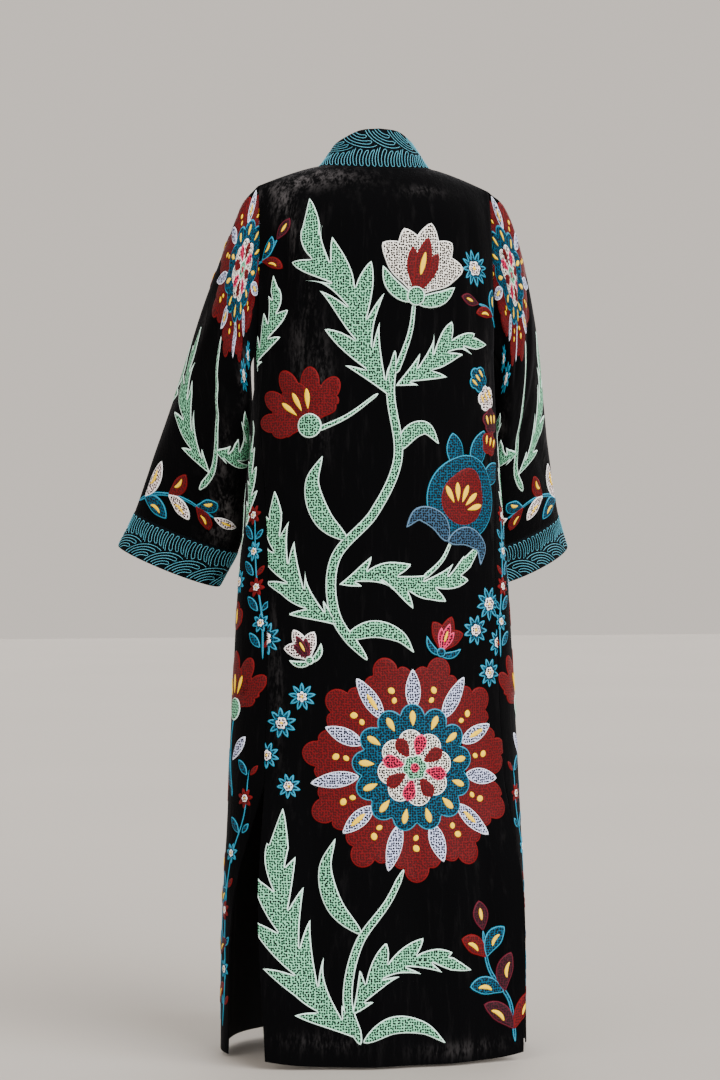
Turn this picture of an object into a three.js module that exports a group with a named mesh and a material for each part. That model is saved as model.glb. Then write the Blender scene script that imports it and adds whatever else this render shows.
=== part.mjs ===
// A floor-length velvet abaya in the form it takes when it is worn, hollow and with nobody in it.
// Millimetres, +Z up. The origin is the base of the neck, level with the high points of the shoulders,
// where the garment rests on its wearer. The front faces -Y and the wearer's left is +X.
// The robe is cut as a back, two fronts, two set-on sleeves, two turned cuffs and one band, which stands up
// as the collar at the back of the neck and runs on down both front edges. The side seams end in slits.
import * as THREE from "three";

// Driving dimensions
const wall = 2; // velvet on its backing cloth
const trimWall = 2.6; // band and cuffs, which carry couched cord
const seamSetback = 0.17; // each piece stops this far short of a seam line
const frontBandWidth = 56;
const neckHalfWidth = 95; // centre back to the shoulder seam's neck end
const neckDepth = 57; // how far the back neckline runs behind the shoulder seams
const neckSquareness = 2; // 2 would be an ellipse
const neckDrop = 7; // centre back neck below the shoulder seams' neck ends
const shoulderRise = 1.25; // power of the curve that the shoulder line falls by
const underarmZ = -312;
const slitTopZ = -1040;
const hemZ = -1494;
const frontHemRise = 14; // the front hem hangs a little higher than the back
const backCornerRise = 9; // and the corners of the back hem higher than its middle
const shoulderRound = 0.3; // share of the armhole depth in which the shoulder turns over
const frontGap = { top: 3, hem: 30 }; // between the two bands, at the foot of the V and at the hem
const neckV = 230; // depth of the V between the bands, below the shoulder

// How finely the cloth is faceted
const armholeRows = 10;
const sideRows = 8; // underarm to the top of the slits
const slitRows = 6;
const neckColumns = 5; // centre back to the shoulder seam
const shoulderColumns = 8;
const sleeveRings = 12;
const cuffRings = 2;
const bandColumns = 3;

// Side seam from the underarm to the top of the slit, and the edges of the slit below it.
const sideSeam = [
  { z: underarmZ, x: 206, y: 16 },
  { z: -450, x: 203, y: 40 },
  { z: -650, x: 195, y: 64 },
  { z: -734, x: 196, y: 68 },
  { z: -900, x: 200, y: 77 },
  { z: slitTopZ, x: 206, y: 89 },
];
const backSlitEdge = [
  { z: slitTopZ, x: 206, y: 89 },
  { z: -1235, x: 226, y: 143 },
  { z: hemZ, x: 219, y: 166 },
];
const frontSlitEdge = [
  { z: slitTopZ, x: 206, y: 89 },
  { z: -1235, x: 250, y: 46 },
  { z: hemZ, x: 258, y: 36 },
];

// The body below the underarm: how far each front reaches sideways, and the depth at the centre.
const bodySections = [
  { z: underarmZ, sideReach: 207, front: 134, back: 117 },
  { z: -450, sideReach: 213, front: 142, back: 120 },
  { z: -650, sideReach: 229, front: 148, back: 124 },
  { z: -734, sideReach: 236, front: 152, back: 127 },
  { z: -900, sideReach: 246, front: 162, back: 140 },
  { z: slitTopZ, sideReach: 254, front: 172, back: 156 },
  { z: -1235, sideReach: 261, front: 184, back: 184 },
  { z: hemZ, sideReach: 266, front: 196, back: 208 },
];

// Depth of the yoke at the centre, by share of the armhole's height, in front and behind.
const yokeDepths = [
  { share: 0, back: 92, front: 84 },
  { share: 0.3, back: 108, front: 98 },
  { share: 0.6, back: 115, front: 118 },
  { share: 1, back: 117, front: 134 },
];

// Where the front edge meets the band, by height.
const bandSeam = [
  { z: 0, x: neckHalfWidth },
  { z: -80, x: 93 },
  { z: -170, x: 78 },
  { z: -neckV - 30, x: frontBandWidth + frontGap.top / 2 },
  { z: hemZ, x: frontBandWidth + frontGap.hem / 2 },
];

// The collar's width as it stands on the neckline, from the centre back (share 0) to the shoulder seam.
const collarStand = [
  { share: 0, in: 0, forward: -14, rise: 69 },
  { share: 0.25, in: -5, forward: -14, rise: 65 },
  { share: 0.5, in: -12, forward: -21, rise: 52 },
  { share: 0.75, in: -18, forward: -24, rise: 38 },
  { share: 1, in: -31, forward: -24, rise: 28 },
];
const collarBow = 2;

// Left sleeve: its outer line and its under line, how far its back and front faces stand off from the
// plane of the two, how far the faces are turned outwards in degrees, and how much the back face hangs
// below the front one. The first row is the armhole, the last but one the cuff seam.
const sleeveSections = [
  { at: 0, outX: 201, outY: 0, outZ: -36, inX: 206, inY: 16, inZ: underarmZ, back: 14, front: 98, turn: 0, dip: 0 },
  { at: 0.08, outX: 225, outY: 2, outZ: -66, inX: 217, inY: 8, inZ: -334, back: 26, front: 92, turn: 6, dip: 0.1 },
  { at: 0.2, outX: 249, outY: -6, outZ: -124, inX: 217, inY: -6, inZ: -372, back: 38, front: 84, turn: 14, dip: 0.2 },
  { at: 0.4, outX: 283, outY: -62, outZ: -232, inX: 215, inY: -38, inZ: -444, back: 47, front: 72, turn: 24, dip: 0.3 },
  { at: 0.6, outX: 313, outY: -120, outZ: -352, inX: 211, inY: -76, inZ: -520, back: 49, front: 63, turn: 33, dip: 0.3 },
  { at: 0.8, outX: 348, outY: -180, outZ: -478, inX: 211, inY: -104, inZ: -596, back: 46, front: 54, turn: 40, dip: 0.2 },
  { at: 1, outX: 377, outY: -216, outZ: -580, inX: 217, inY: -120, inZ: -652, back: 42, front: 46, turn: 45, dip: 0.05 },
  { at: 1.12, outX: 404, outY: -246, outZ: -643, inX: 245, inY: -154, inZ: -716, back: 41, front: 43, turn: 46, dip: 0 },
];
const cuffEnd = sleeveSections.at(-1).at;

// Soft folds hanging in the skirt: where they start and how deep they are at the hem. `across` runs
// from -1 at the right edge to 1 at the left on the back, and from 0 at the side to 1 at the band on a front.
const backFolds = [
  { across: -0.62, width: 0.2, depth: 6, from: -620 },
  { across: -0.12, width: 0.24, depth: 8, from: -760 },
  { across: 0.5, width: 0.22, depth: 7, from: -560 },
];
const frontFolds = [
  { across: 0.3, width: 0.16, depth: 9, from: -560 },
  { across: 0.68, width: 0.18, depth: 8, from: -480 },
];

const velvetBlack = 0x070708;
const trimNavy = 0x0b2a33;

const mix = (a, b, t) => a + (b - a) * t;
const clamp01 = (t) => Math.min(1, Math.max(0, t));
const smooth = (t) => clamp01(t) ** 2 * (3 - 2 * clamp01(t));

// The value of a table's column at a place along it, on a smooth curve through its rows.
function column(table, along, place, name) {
  const last = table.length - 1;
  const forward = table[last][along] > table[0][along];
  let i = 0;
  while (i < last - 1 && (forward ? place > table[i + 1][along] : place < table[i + 1][along])) i++;
  const rowAt = (k) => table[Math.min(last, Math.max(0, k))];
  const [before, from, to, after] = [rowAt(i - 1), rowAt(i), rowAt(i + 1), rowAt(i + 2)];
  const span = to[along] - from[along];
  const t = clamp01((place - from[along]) / span);
  const slope = (a, b) => (b[along] === a[along] ? 0 : ((b[name] - a[name]) / (b[along] - a[along])) * span);
  const startSlope = i === 0 ? slope(from, to) : slope(before, to);
  const endSlope = i + 2 > last ? slope(from, to) : slope(from, after);
  return (
    from[name] * (1 + 2 * t) * (1 - t) ** 2 +
    to[name] * t * t * (3 - 2 * t) +
    startSlope * t * (1 - t) ** 2 -
    endSlope * t * t * (1 - t)
  );
}

// Points spaced evenly along a curve, or at the given shares of its length.
function spaced(curve, shares) {
  const fine = 96;
  const points = Array.from({ length: fine + 1 }, (_, i) => curve(i / fine));
  const along = [0];
  for (let i = 1; i <= fine; i++) along.push(along[i - 1] + points[i].distanceTo(points[i - 1]));
  return shares.map((share) => {
    const target = share * along[fine];
    let i = 1;
    while (i < fine && along[i] < target) i++;
    const t = (target - along[i - 1]) / (along[i] - along[i - 1] || 1);
    return points[i - 1].clone().lerp(points[i], t);
  });
}

// One ring of the left sleeve. Angle 0 is the outer line, a quarter turn the back face, a half turn the
// under line.
function sleevePoint(at, angle) {
  const value = (name) => column(sleeveSections, "at", at, name);
  const outer = new THREE.Vector3(value("outX"), value("outY"), value("outZ"));
  const under = new THREE.Vector3(value("inX"), value("inY"), value("inZ"));
  const spread = outer.clone().sub(under);
  const turn = THREE.MathUtils.degToRad(value("turn"));
  const backward = new THREE.Vector3(Math.sin(turn), Math.cos(turn), -value("dip"));
  const standOff = value(Math.sin(angle) > 0 ? "back" : "front");
  return outer
    .add(under)
    .multiplyScalar(0.5)
    .addScaledVector(spread, 0.5 * Math.cos(angle))
    .addScaledVector(backward, standOff * Math.sin(angle));
}

const rowAngles = Array.from({ length: armholeRows + 1 }, (_, i) => (Math.PI * i) / armholeRows);
const depthShare = (angle) => (1 - Math.cos(angle)) / 2;
const turnOver = (share) => Math.sqrt(1 - (1 - Math.min(1, share / shoulderRound)) ** 2);
const armholeTop = sleevePoint(0, 0);

// Height of the top edge, shoulder seam and back neckline, at a distance from the centre.
function topHeight(x) {
  if (x <= neckHalfWidth) return -neckDrop * (1 - (x / neckHalfWidth) ** 2);
  return armholeTop.z * ((x - neckHalfWidth) / (armholeTop.x - neckHalfWidth)) ** shoulderRise;
}

// A row's sideways curve is an ellipse through its centre and its edge.
function ellipseDepth(x, centreDepth, edge) {
  const widest = edge.x / Math.sqrt(1 - (edge.y / centreDepth) ** 2);
  return centreDepth * Math.sqrt(Math.max(0, 1 - (x / widest) ** 2));
}

// Heights of the rows below the underarm, with one at the top of the slits.
const heightsBetween = (from, to, count) =>
  Array.from({ length: count }, (_, i) => mix(from, to, (i + 1) / count));
const bodyHeights = [
  ...heightsBetween(underarmZ, slitTopZ, sideRows),
  ...heightsBetween(slitTopZ, hemZ, slitRows),
];
const sideEdge = (z, slitEdge) => {
  const table = z >= slitTopZ ? sideSeam : slitEdge;
  return { x: column(table, "z", z, "x"), y: column(table, "z", z, "y") };
};

function foldDepth(folds, across, z) {
  let depth = 0;
  for (const fold of folds) {
    const grown = smooth((fold.from - z) / (fold.from - hemZ));
    depth -= fold.depth * grown * Math.exp(-(((across - fold.across) / fold.width) ** 2));
  }
  return depth;
}

// Back panel, one row of points from the centre to the left edge, mirrored for the right half.
const backHalfColumns = neckColumns + shoulderColumns;

function backYokeRow(angle) {
  const share = depthShare(angle);
  const edge = sleevePoint(0, angle);
  const over = turnOver(share);
  const depth = column(yokeDepths, "share", share, "back");
  const rowEdge = { x: edge.x, y: over > 0 ? edge.y / over : 0 };
  return Array.from({ length: backHalfColumns + 1 }, (_, k) => {
    if (k === backHalfColumns) return edge;
    const atTop =
      k <= neckColumns
        ? neckHalfWidth * Math.sin(((k / neckColumns) * Math.PI) / 2)
        : mix(neckHalfWidth, armholeTop.x, (k - neckColumns) / shoulderColumns);
    const x = mix((atTop / armholeTop.x) * edge.x, (k / backHalfColumns) * edge.x, smooth(share));
    const topY = neckDepth * Math.max(0, 1 - (atTop / neckHalfWidth) ** neckSquareness) ** (1 / neckSquareness);
    const y = mix(topY, ellipseDepth(x, depth, rowEdge), over);
    return new THREE.Vector3(x, y, mix(topHeight(atTop), underarmZ, share));
  });
}

function backSkirtRow(z) {
  const depth = column(bodySections, "z", z, "back");
  const edge = sideEdge(z, backSlitEdge);
  const rise = backCornerRise * smooth((slitTopZ - z) / (slitTopZ - hemZ));
  const curve = (t) => new THREE.Vector3(t * edge.x, ellipseDepth(t * edge.x, depth, edge), z + rise * t ** 4);
  const shares = Array.from({ length: backHalfColumns + 1 }, (_, k) => k / backHalfColumns);
  return spaced(curve, shares);
}

const mirrored = (point) => new THREE.Vector3(-point.x, point.y, point.z);

// Evens out the rows next to a panel's top edge along their length, less and less down to the given depth.
function relaxed(rows, depth, passes) {
  let now = rows;
  for (let pass = 0; pass < passes; pass++) {
    now = now.map((row, i) =>
      row.map((point, k) => {
        if (i === 0 || i >= depth || k === 0 || k === row.length - 1) return point;
        const mean = row[k - 1].clone().add(row[k + 1]).multiplyScalar(0.5);
        return point.clone().lerp(mean, 0.6 * (1 - i / depth));
      }),
    );
  }
  return now;
}
const yokeRelaxed = { depth: 7, passes: 5 };

const backPlain = [...rowAngles.map(backYokeRow), ...bodyHeights.map(backSkirtRow)].map((half) => [
  ...half.slice(1).reverse().map(mirrored),
  ...half,
]);
const backRows = relaxed(backPlain, yokeRelaxed.depth, yokeRelaxed.passes).map((whole) =>
  whole.map((point, k) => {
    const across = k / backHalfColumns - 1;
    const edgeFade = 1 - across ** 8;
    const push = foldDepth(backFolds, across, point.z) * edgeFade;
    return new THREE.Vector3(point.x, point.y + push, point.z);
  }),
);

// Left front, one row of points from the side to the band seam.
const frontColumns = shoulderColumns;
const frontShares = Array.from({ length: frontColumns + 1 }, (_, k) => k / frontColumns);

// The whole sideways curve of a front row, from the side edge to the centre front. Angle 0 is the widest
// place, a positive angle is behind it and a quarter turn back is the centre front.
function frontCurve(edge, reach, depth) {
  const behind = edge.y > 0;
  const widest = behind ? Math.max(reach, edge.x + 0.5) : edge.x / Math.sqrt(1 - (edge.y / depth) ** 2);
  const start = behind ? Math.acos(edge.x / widest) : Math.asin(edge.y / depth);
  const sideDepth = behind ? edge.y / Math.sin(start) : depth;
  const point = (angle) => ({
    x: widest * Math.cos(angle),
    y: (angle > 0 ? sideDepth : depth) * Math.sin(angle),
  });
  return { start, point, angleAt: (x) => -Math.acos(Math.min(1, x / widest)) };
}

function frontRow(edge, reach, depth, over, heightAt, seamX) {
  const { start, point, angleAt } = frontCurve(edge, reach, depth);
  const end = angleAt(seamX);
  const curve = (t) => {
    const { x, y } = point(mix(start, end, t));
    return new THREE.Vector3(x, y * over, 0);
  };
  return spaced(curve, frontShares).map((p, k) => p.setZ(heightAt(k / frontColumns)));
}

const seamX = (z) => column(bandSeam, "z", z, "x");

function frontYokeRow(angle) {
  const share = depthShare(angle);
  const edge = sleevePoint(0, -angle);
  const over = turnOver(share);
  if (over === 0) {
    return frontShares.map((t) => {
      const x = mix(armholeTop.x, neckHalfWidth, t);
      return new THREE.Vector3(x, 0, topHeight(x));
    });
  }
  const heightAt = (t) => mix(topHeight(mix(armholeTop.x, neckHalfWidth, t)), underarmZ, share);
  const depth = column(yokeDepths, "share", share, "front");
  const reach = bodySections[0].sideReach;
  const row = frontRow({ x: edge.x, y: edge.y / over }, reach, depth, over, heightAt, seamX(heightAt(1)));
  row[0].copy(edge);
  return row;
}

function frontSkirtRow(z) {
  const value = (name) => column(bodySections, "z", z, name);
  const rise = frontHemRise * ((z - underarmZ) / (hemZ - underarmZ)) ** 2;
  const heightAt = (t) => z + rise * Math.sin((t * Math.PI) / 2);
  const row = frontRow(sideEdge(z, frontSlitEdge), value("sideReach"), value("front"), 1, heightAt, seamX(z));
  return row.map((point, k) => {
    const across = k / frontColumns;
    const push = foldDepth(frontFolds, across, z) * Math.sin(Math.PI * across) ** 0.5;
    const outward = new THREE.Vector3(point.x, point.y, 0).normalize();
    return point.addScaledVector(outward, push);
  });
}

const frontRows = [...rowAngles.map(frontYokeRow), ...bodyHeights.map(frontSkirtRow)];

// The band from the centre back of the neck, round to the shoulder and down the left front. Each station
// is a row of points from the seam to the free edge.
function bandAcross(seamPoint, reach, bow) {
  const outward = new THREE.Vector3(seamPoint.x, seamPoint.y, 0).normalize();
  return Array.from({ length: bandColumns + 1 }, (_, k) => {
    const t = k / bandColumns;
    return seamPoint
      .clone()
      .addScaledVector(reach, t)
      .addScaledVector(outward, bow * 4 * t * (1 - t));
  });
}

function collarReach(share) {
  const value = (name) => column(collarStand, "share", share, name);
  return new THREE.Vector3(value("in"), value("forward"), value("rise"));
}

const neckStation = (k) => bandAcross(backRows[0][backHalfColumns + k], collarReach(k / neckColumns), collarBow);

function frontStation(row, index) {
  const seamPoint = row[frontColumns];
  const nextIn = row[frontColumns - 1];
  const flatness = smooth(-seamPoint.z / (neckV - 20));
  const chest = new THREE.Vector3(-1, (seamPoint.y - nextIn.y) / (nextIn.x - seamPoint.x), 0);
  chest.y *= index > armholeRows ? 0.5 : 0.8;
  chest.setLength(frontBandWidth);
  const stand = collarReach(1);
  const width = mix(stand.length(), frontBandWidth, smooth(flatness * 2));
  return bandAcross(seamPoint, stand.lerp(chest, flatness).setLength(width), collarBow * (1 - flatness));
}

const leftBand = [
  ...Array.from({ length: neckColumns + 1 }, (_, k) => neckStation(k)),
  ...frontRows.slice(1).map(frontStation),
];
const bandRows = [...leftBand.slice(1).reverse().map((row) => row.map(mirrored)), ...leftBand];

// Sleeve and cuff rings.
const ringAngles = Array.from({ length: 2 * armholeRows }, (_, i) => (Math.PI * i) / armholeRows);
const ringsBetween = (from, to, count) =>
  Array.from({ length: count + 1 }, (_, i) => {
    const at = mix(from, to, i / count);
    return ringAngles.map((angle) => sleevePoint(at, angle));
  });
const sleeveRows = ringsBetween(0, 1, sleeveRings);
const cuffRows = ringsBetween(1, cuffEnd, cuffRings);

// Every piece is a grid of points on its outer face. Rows and columns run so that columns cross rows
// gives the outward direction, or the inward one where `flipped` says so.
const pieces = [
  { name: "back", rows: backRows, thick: wall, colour: velvetBlack },
  { name: "front_left", rows: frontRows, thick: wall, colour: velvetBlack },
  { name: "sleeve_left", rows: sleeveRows, thick: wall, colour: velvetBlack, tube: true, flipped: true },
  { name: "cuff_left", rows: cuffRows, thick: trimWall, colour: trimNavy, tube: true, flipped: true },
  { name: "collar_band", rows: bandRows, thick: trimWall, colour: trimNavy },
];
for (const [left, right] of [
  ["front_left", "front_right"],
  ["sleeve_left", "sleeve_right"],
  ["cuff_left", "cuff_right"],
]) {
  const source = pieces.find((piece) => piece.name === left);
  const rows = source.rows.map((row) => row.map(mirrored));
  pieces.push({ ...source, name: right, rows, flipped: !source.flipped });
}

// Outward direction at every point of a piece's grid.
function normalsOf({ rows, tube, flipped }) {
  const lastRow = rows.length - 1;
  const count = rows[0].length;
  const columnAt = (k) => (tube ? (k + count) % count : Math.min(count - 1, Math.max(0, k)));
  return rows.map((row, i) =>
    row.map((_, k) => {
      const along = row[columnAt(k + 1)].clone().sub(row[columnAt(k - 1)]);
      const down = rows[Math.min(lastRow, i + 1)][k].clone().sub(rows[Math.max(0, i - 1)][k]);
      const normal = along.cross(down).normalize();
      return flipped ? normal.negate() : normal;
    }),
  );
}

// Where pieces meet, their walls are mitred: the outward directions of the surfaces that meet there are
// averaged, surfaces that run on into each other counting once.
const seamKey = (point) => point.toArray().map((value) => Math.round(value * 20)).join(" ");
const seams = new Map();
for (const piece of pieces) {
  piece.normals = normalsOf(piece);
  piece.rows.forEach((row, i) =>
    row.forEach((point, k) => {
      const rim = i === 0 || i === piece.rows.length - 1 || (!piece.tube && (k === 0 || k === row.length - 1));
      if (!rim) return;
      const key = seamKey(point);
      const surfaces = seams.get(key) ?? [];
      const normal = piece.normals[i][k];
      const same = surfaces.find((surface) => surface.sum.clone().normalize().dot(normal) > 0.5);
      if (same) same.sum.add(normal);
      else surfaces.push({ sum: normal.clone() });
      seams.set(key, surfaces);
    }),
  );
}
const opposed = 0.35; // below this length of the average, the surfaces face each other

// The outward direction that the pieces share at a seam point. Where surfaces face each other, as under
// the arm, each of them keeps its own.
function seamDirection(piece, i, k) {
  const own = piece.normals[i][k];
  const surfaces = seams.get(seamKey(piece.rows[i][k]))?.map(({ sum }) => sum.clone().normalize()) ?? [own];
  const mean = new THREE.Vector3();
  for (const surface of surfaces) mean.addScaledVector(surface, 1 / surfaces.length);
  if (mean.length() >= opposed) return { direction: mean.normalize(), facing: false };
  const direction = surfaces.reduce((best, surface) => (surface.dot(own) > best.dot(own) ? surface : best));
  return { direction, facing: true };
}

// Whether four corners bend less when they are joined across the first and the third.
function flatterAcross([a, b, c, d]) {
  const facet = (p, q, r) => q.clone().sub(p).cross(r.clone().sub(p)).normalize();
  return facet(a, b, c).dot(facet(a, c, d)) >= facet(b, c, d).dot(facet(b, d, a)) - 1e-6;
}

// A closed wall from a grid: the outer face, the inner face and the rims. Each rim stands half a seam
// back from the plane that parts it from its neighbour.
function wallGeometry(piece) {
  const { rows, thick, tube, flipped } = piece;
  const rowCount = rows.length;
  const count = rows[0].length;
  const outer = [];
  const inner = [];
  for (let i = 0; i < rowCount; i++) {
    for (let k = 0; k < count; k++) {
      const here = rows[i][k];
      const { direction, facing } = seamDirection(piece, i, k);
      const point = here.clone().addScaledVector(direction, facing ? -seamSetback : 0);
      const standBack = (inward, before, after) => {
        const apart = after.clone().sub(before).cross(direction).normalize();
        if (apart.dot(inward.clone().sub(here)) < 0) apart.negate();
        point.addScaledVector(apart, seamSetback);
      };
      const left = rows[i][tube ? (k + count - 1) % count : Math.max(0, k - 1)];
      const right = rows[i][tube ? (k + 1) % count : Math.min(count - 1, k + 1)];
      const above = rows[Math.max(0, i - 1)][k];
      const below = rows[Math.min(rowCount - 1, i + 1)][k];
      if (i === 0) standBack(below, left, right);
      if (i === rowCount - 1) standBack(above, left, right);
      if (!tube && k === 0) standBack(right, above, below);
      if (!tube && k === count - 1) standBack(left, above, below);
      outer.push(point);
      inner.push(point.clone().addScaledVector(direction, -thick));
    }
  }
  const vertices = [...outer, ...inner].flatMap((point) => point.toArray());
  const faces = [];
  const triangle = (a, b, c) => (flipped ? faces.push(a, c, b) : faces.push(a, b, c));
  const quad = (a, b, c, d) => {
    triangle(a, b, c);
    triangle(a, c, d);
  };
  const at = (i, k) => i * count + (k % count);
  const innerAt = (i, k) => rowCount * count + at(i, k);
  const lastColumn = tube ? count : count - 1;
  const corner = (index) => new THREE.Vector3().fromArray(vertices, 3 * index);
  const rim = (a, b, c, d) => {
    const acrossFirst = corner(a).distanceTo(corner(c)) < corner(b).distanceTo(corner(d));
    if (acrossFirst) quad(a, b, c, d);
    else quad(b, c, d, a);
  };
  for (let i = 0; i < rowCount - 1; i++) {
    for (let k = 0; k < lastColumn; k++) {
      const corners = [at(i, k), at(i, k + 1), at(i + 1, k + 1), at(i + 1, k)];
      const first = flatterAcross(corners.map((corner) => outer[corner])) ? 0 : 1;
      const [a, b, c, d] = [0, 1, 2, 3].map((step) => corners[(first + step) % 4]);
      const inside = rowCount * count;
      quad(a, b, c, d);
      quad(inside + a, inside + d, inside + c, inside + b);
    }
  }
  for (let k = 0; k < lastColumn; k++) {
    const last = rowCount - 1;
    rim(at(0, k + 1), at(0, k), innerAt(0, k), innerAt(0, k + 1));
    rim(at(last, k), at(last, k + 1), innerAt(last, k + 1), innerAt(last, k));
  }
  for (let i = 0; !tube && i < rowCount - 1; i++) {
    rim(at(i, 0), at(i + 1, 0), innerAt(i + 1, 0), innerAt(i, 0));
    rim(at(i + 1, lastColumn), at(i, lastColumn), innerAt(i, lastColumn), innerAt(i + 1, lastColumn));
  }
  const geometry = new THREE.BufferGeometry();
  geometry.setAttribute("position", new THREE.Float32BufferAttribute(vertices, 3));
  geometry.setIndex(faces);
  geometry.computeVertexNormals();
  return geometry;
}

const abaya = new THREE.Group();
for (const piece of pieces) {
  const material = new THREE.MeshStandardMaterial({ color: piece.colour, roughness: 0.9, metalness: 0 });
  const mesh = new THREE.Mesh(wallGeometry(piece), material);
  mesh.name = piece.name;
  abaya.add(mesh);
}

export default abaya;
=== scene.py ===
# A floor-length velvet abaya in its worn form, hollow. The cloth is thin shells on the forms of the
# pattern pieces, and flowers, leaves and couched cord are thin closed meshes laid on them. Lengths are in
# millimetres until the meshes are made. The robe's back faces +Y, and the wearer's left is +X.
import bpy
import numpy as np
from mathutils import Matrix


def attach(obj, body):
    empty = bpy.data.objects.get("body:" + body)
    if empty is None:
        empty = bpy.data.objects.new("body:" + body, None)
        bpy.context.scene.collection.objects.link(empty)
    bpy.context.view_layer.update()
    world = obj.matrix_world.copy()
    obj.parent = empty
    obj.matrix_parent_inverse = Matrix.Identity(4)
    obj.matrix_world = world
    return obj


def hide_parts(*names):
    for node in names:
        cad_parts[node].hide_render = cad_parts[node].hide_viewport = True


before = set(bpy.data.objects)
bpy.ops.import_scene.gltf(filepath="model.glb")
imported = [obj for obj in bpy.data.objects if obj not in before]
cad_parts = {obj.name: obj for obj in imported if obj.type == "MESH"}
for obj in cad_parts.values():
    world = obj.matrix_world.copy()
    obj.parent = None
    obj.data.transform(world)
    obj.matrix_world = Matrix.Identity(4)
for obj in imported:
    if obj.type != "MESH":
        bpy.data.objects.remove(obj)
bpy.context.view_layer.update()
scene = bpy.context.scene
pi = np.pi

# place in metres, turn about the upright in degrees, lens in millimetres
cameraSet = {"place": (1.0215, 4.690, -0.634), "turn": 168, "lens": 93.9}
camera = bpy.data.objects.new("camera", bpy.data.cameras.new("camera"))
camera.location = cameraSet["place"]
camera.rotation_euler = (pi / 2, 0, np.radians(cameraSet["turn"]))
camera.data.lens = cameraSet["lens"]
camera.data.sensor_width = 36
camera.data.clip_end = 200
scene.collection.objects.link(camera)
scene.camera = camera
print("camera set")

# the robe: walls, shoulder line, neck, underarm and hem, and how many rows and columns its form has
robe = {
    "wall": 2.0, "trimWall": 2.6, "setback": 0.3, "frontBand": 56, "neckHalfWidth": 95, "neckDepth": 57,
    "neckDrop": 7, "shoulderRise": 1.25, "underarmZ": -312, "slitTopZ": -1040, "hemZ": -1494,
    "frontHemRise": 14, "backCornerRise": 9, "shoulderRound": 0.3, "neckV": 230, "collarBow": 2,
    "neckColumns": 5, "shoulderColumns": 8, "yokeRows": 10, "sideRows": 8, "slitRows": 6,
    "bandLean": (0.8, 0.5), "relaxDepth": 7, "relaxPasses": 5, "relaxStrength": 0.6, "rowSamples": 97,
}
# how many fine steps each coarse row or column of the form is cut into
fine = {
    "yoke": 6, "side": 9, "slit": 8, "back": 3, "front": 6, "sleeve": 6, "cuff": 5, "round": 5, "band": 10,
}

# the side seam, the slits' edges and the body's half widths and depths, by height
sideSeam = {
    "z": [-312, -450, -650, -734, -900, -1040],
    "x": [206, 203, 195, 196, 200, 206],
    "y": [16, 40, 64, 68, 77, 89],
}
backSlitEdge = {"z": [-1040, -1235, -1494], "x": [206, 226, 219], "y": [89, 143, 166]}
frontSlitEdge = {"z": [-1040, -1235, -1494], "x": [206, 250, 258], "y": [89, 46, 36]}
bodySections = {
    "z": [-312, -450, -650, -734, -900, -1040, -1235, -1494],
    "sideReach": [207, 213, 229, 236, 246, 254, 261, 266],
    "front": [134, 142, 148, 152, 162, 172, 184, 196],
    "back": [117, 120, 124, 127, 140, 156, 184, 208],
}
yokeDepths = {"share": [0, 0.3, 0.6, 1], "back": [92, 108, 115, 117], "front": [84, 98, 118, 134]}
bandSeam = {"z": [0, -80, -170, -260, -1494], "x": [95, 93, 78, 57.5, 71]}
collarStand = {
    "share": [0, 0.25, 0.5, 0.75, 1],
    "in": [0, -5, -12, -18, -31],
    "forward": [-14, -14, -21, -24, -24],
    "rise": [69, 65, 52, 38, 28],
}
sleeveSections = {
    "at": [0, 0.08, 0.2, 0.4, 0.6, 0.8, 1, 1.12],
    "outX": [201, 225, 249, 283, 313, 348, 377, 404],
    "outY": [0, 2, -6, -62, -120, -180, -216, -246],
    "outZ": [-36, -66, -124, -232, -352, -478, -580, -643],
    "inX": [206, 217, 217, 215, 211, 211, 217, 245],
    "inY": [16, 8, -6, -38, -76, -104, -120, -154],
    "inZ": [-312, -334, -372, -444, -520, -596, -652, -716],
    "back": [14, 26, 38, 47, 49, 46, 42, 41],
    "front": [98, 92, 84, 72, 63, 54, 46, 43],
    "turn": [0, 6, 14, 24, 33, 40, 45, 46],
    "dip": [0, 0.1, 0.2, 0.3, 0.3, 0.2, 0.05, 0],
}
hangingFolds = {
    "back": {
        "across": [-0.62, -0.12, 0.5], "width": [0.2, 0.24, 0.22], "depth": [6, 8, 7],
        "from": [-620, -760, -560],
    },
    "front": {"across": [0.3, 0.68], "width": [0.16, 0.18], "depth": [9, 8], "from": [-560, -480]},
}
print("sizes set")


def mix(a, b, t):
    # from a to b by the share t: a + (b - a) t
    return a + (b - a) * t


def smooth(t):
    # 0 to 1 with level ends: 3 t^2 - 2 t^3
    t = np.clip(t, 0, 1)
    return t * t * (3 - 2 * t)


def unit(v):
    # each vector divided by its own length
    return v / np.maximum(np.linalg.norm(v, axis=-1, keepdims=True), 1e-9)


def column(table, along, place, name):
    # a table's column at any places along it: cubic pieces whose slope at a row joins its neighbours
    a, v = np.array(table[along], float), np.array(table[name], float)
    p = np.asarray(place, float)
    way = np.sign(a[-1] - a[0])
    last = len(a) - 1
    i = np.clip(np.searchsorted(a * way, p * way) - 1, 0, last - 1)
    span = a[i + 1] - a[i]
    t = np.clip((p - a[i]) / span, 0, 1)
    before, after = np.maximum(i - 1, 0), np.minimum(i + 2, last)
    startSlope = (v[i + 1] - v[before]) / (a[i + 1] - a[before]) * span
    endSlope = (v[after] - v[i]) / (a[after] - a[i]) * span
    return (v[i] * (1 + 2 * t) * (1 - t) ** 2 + v[i + 1] * t * t * (3 - 2 * t)
            + startSlope * t * (1 - t) ** 2 - endSlope * t * t * (1 - t))


def lengths(points):
    # the length run so far at each point of a line: 0, then the sum of its steps
    return np.concatenate([[0], np.cumsum(np.linalg.norm(np.diff(points, axis=0), axis=1))])


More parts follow.
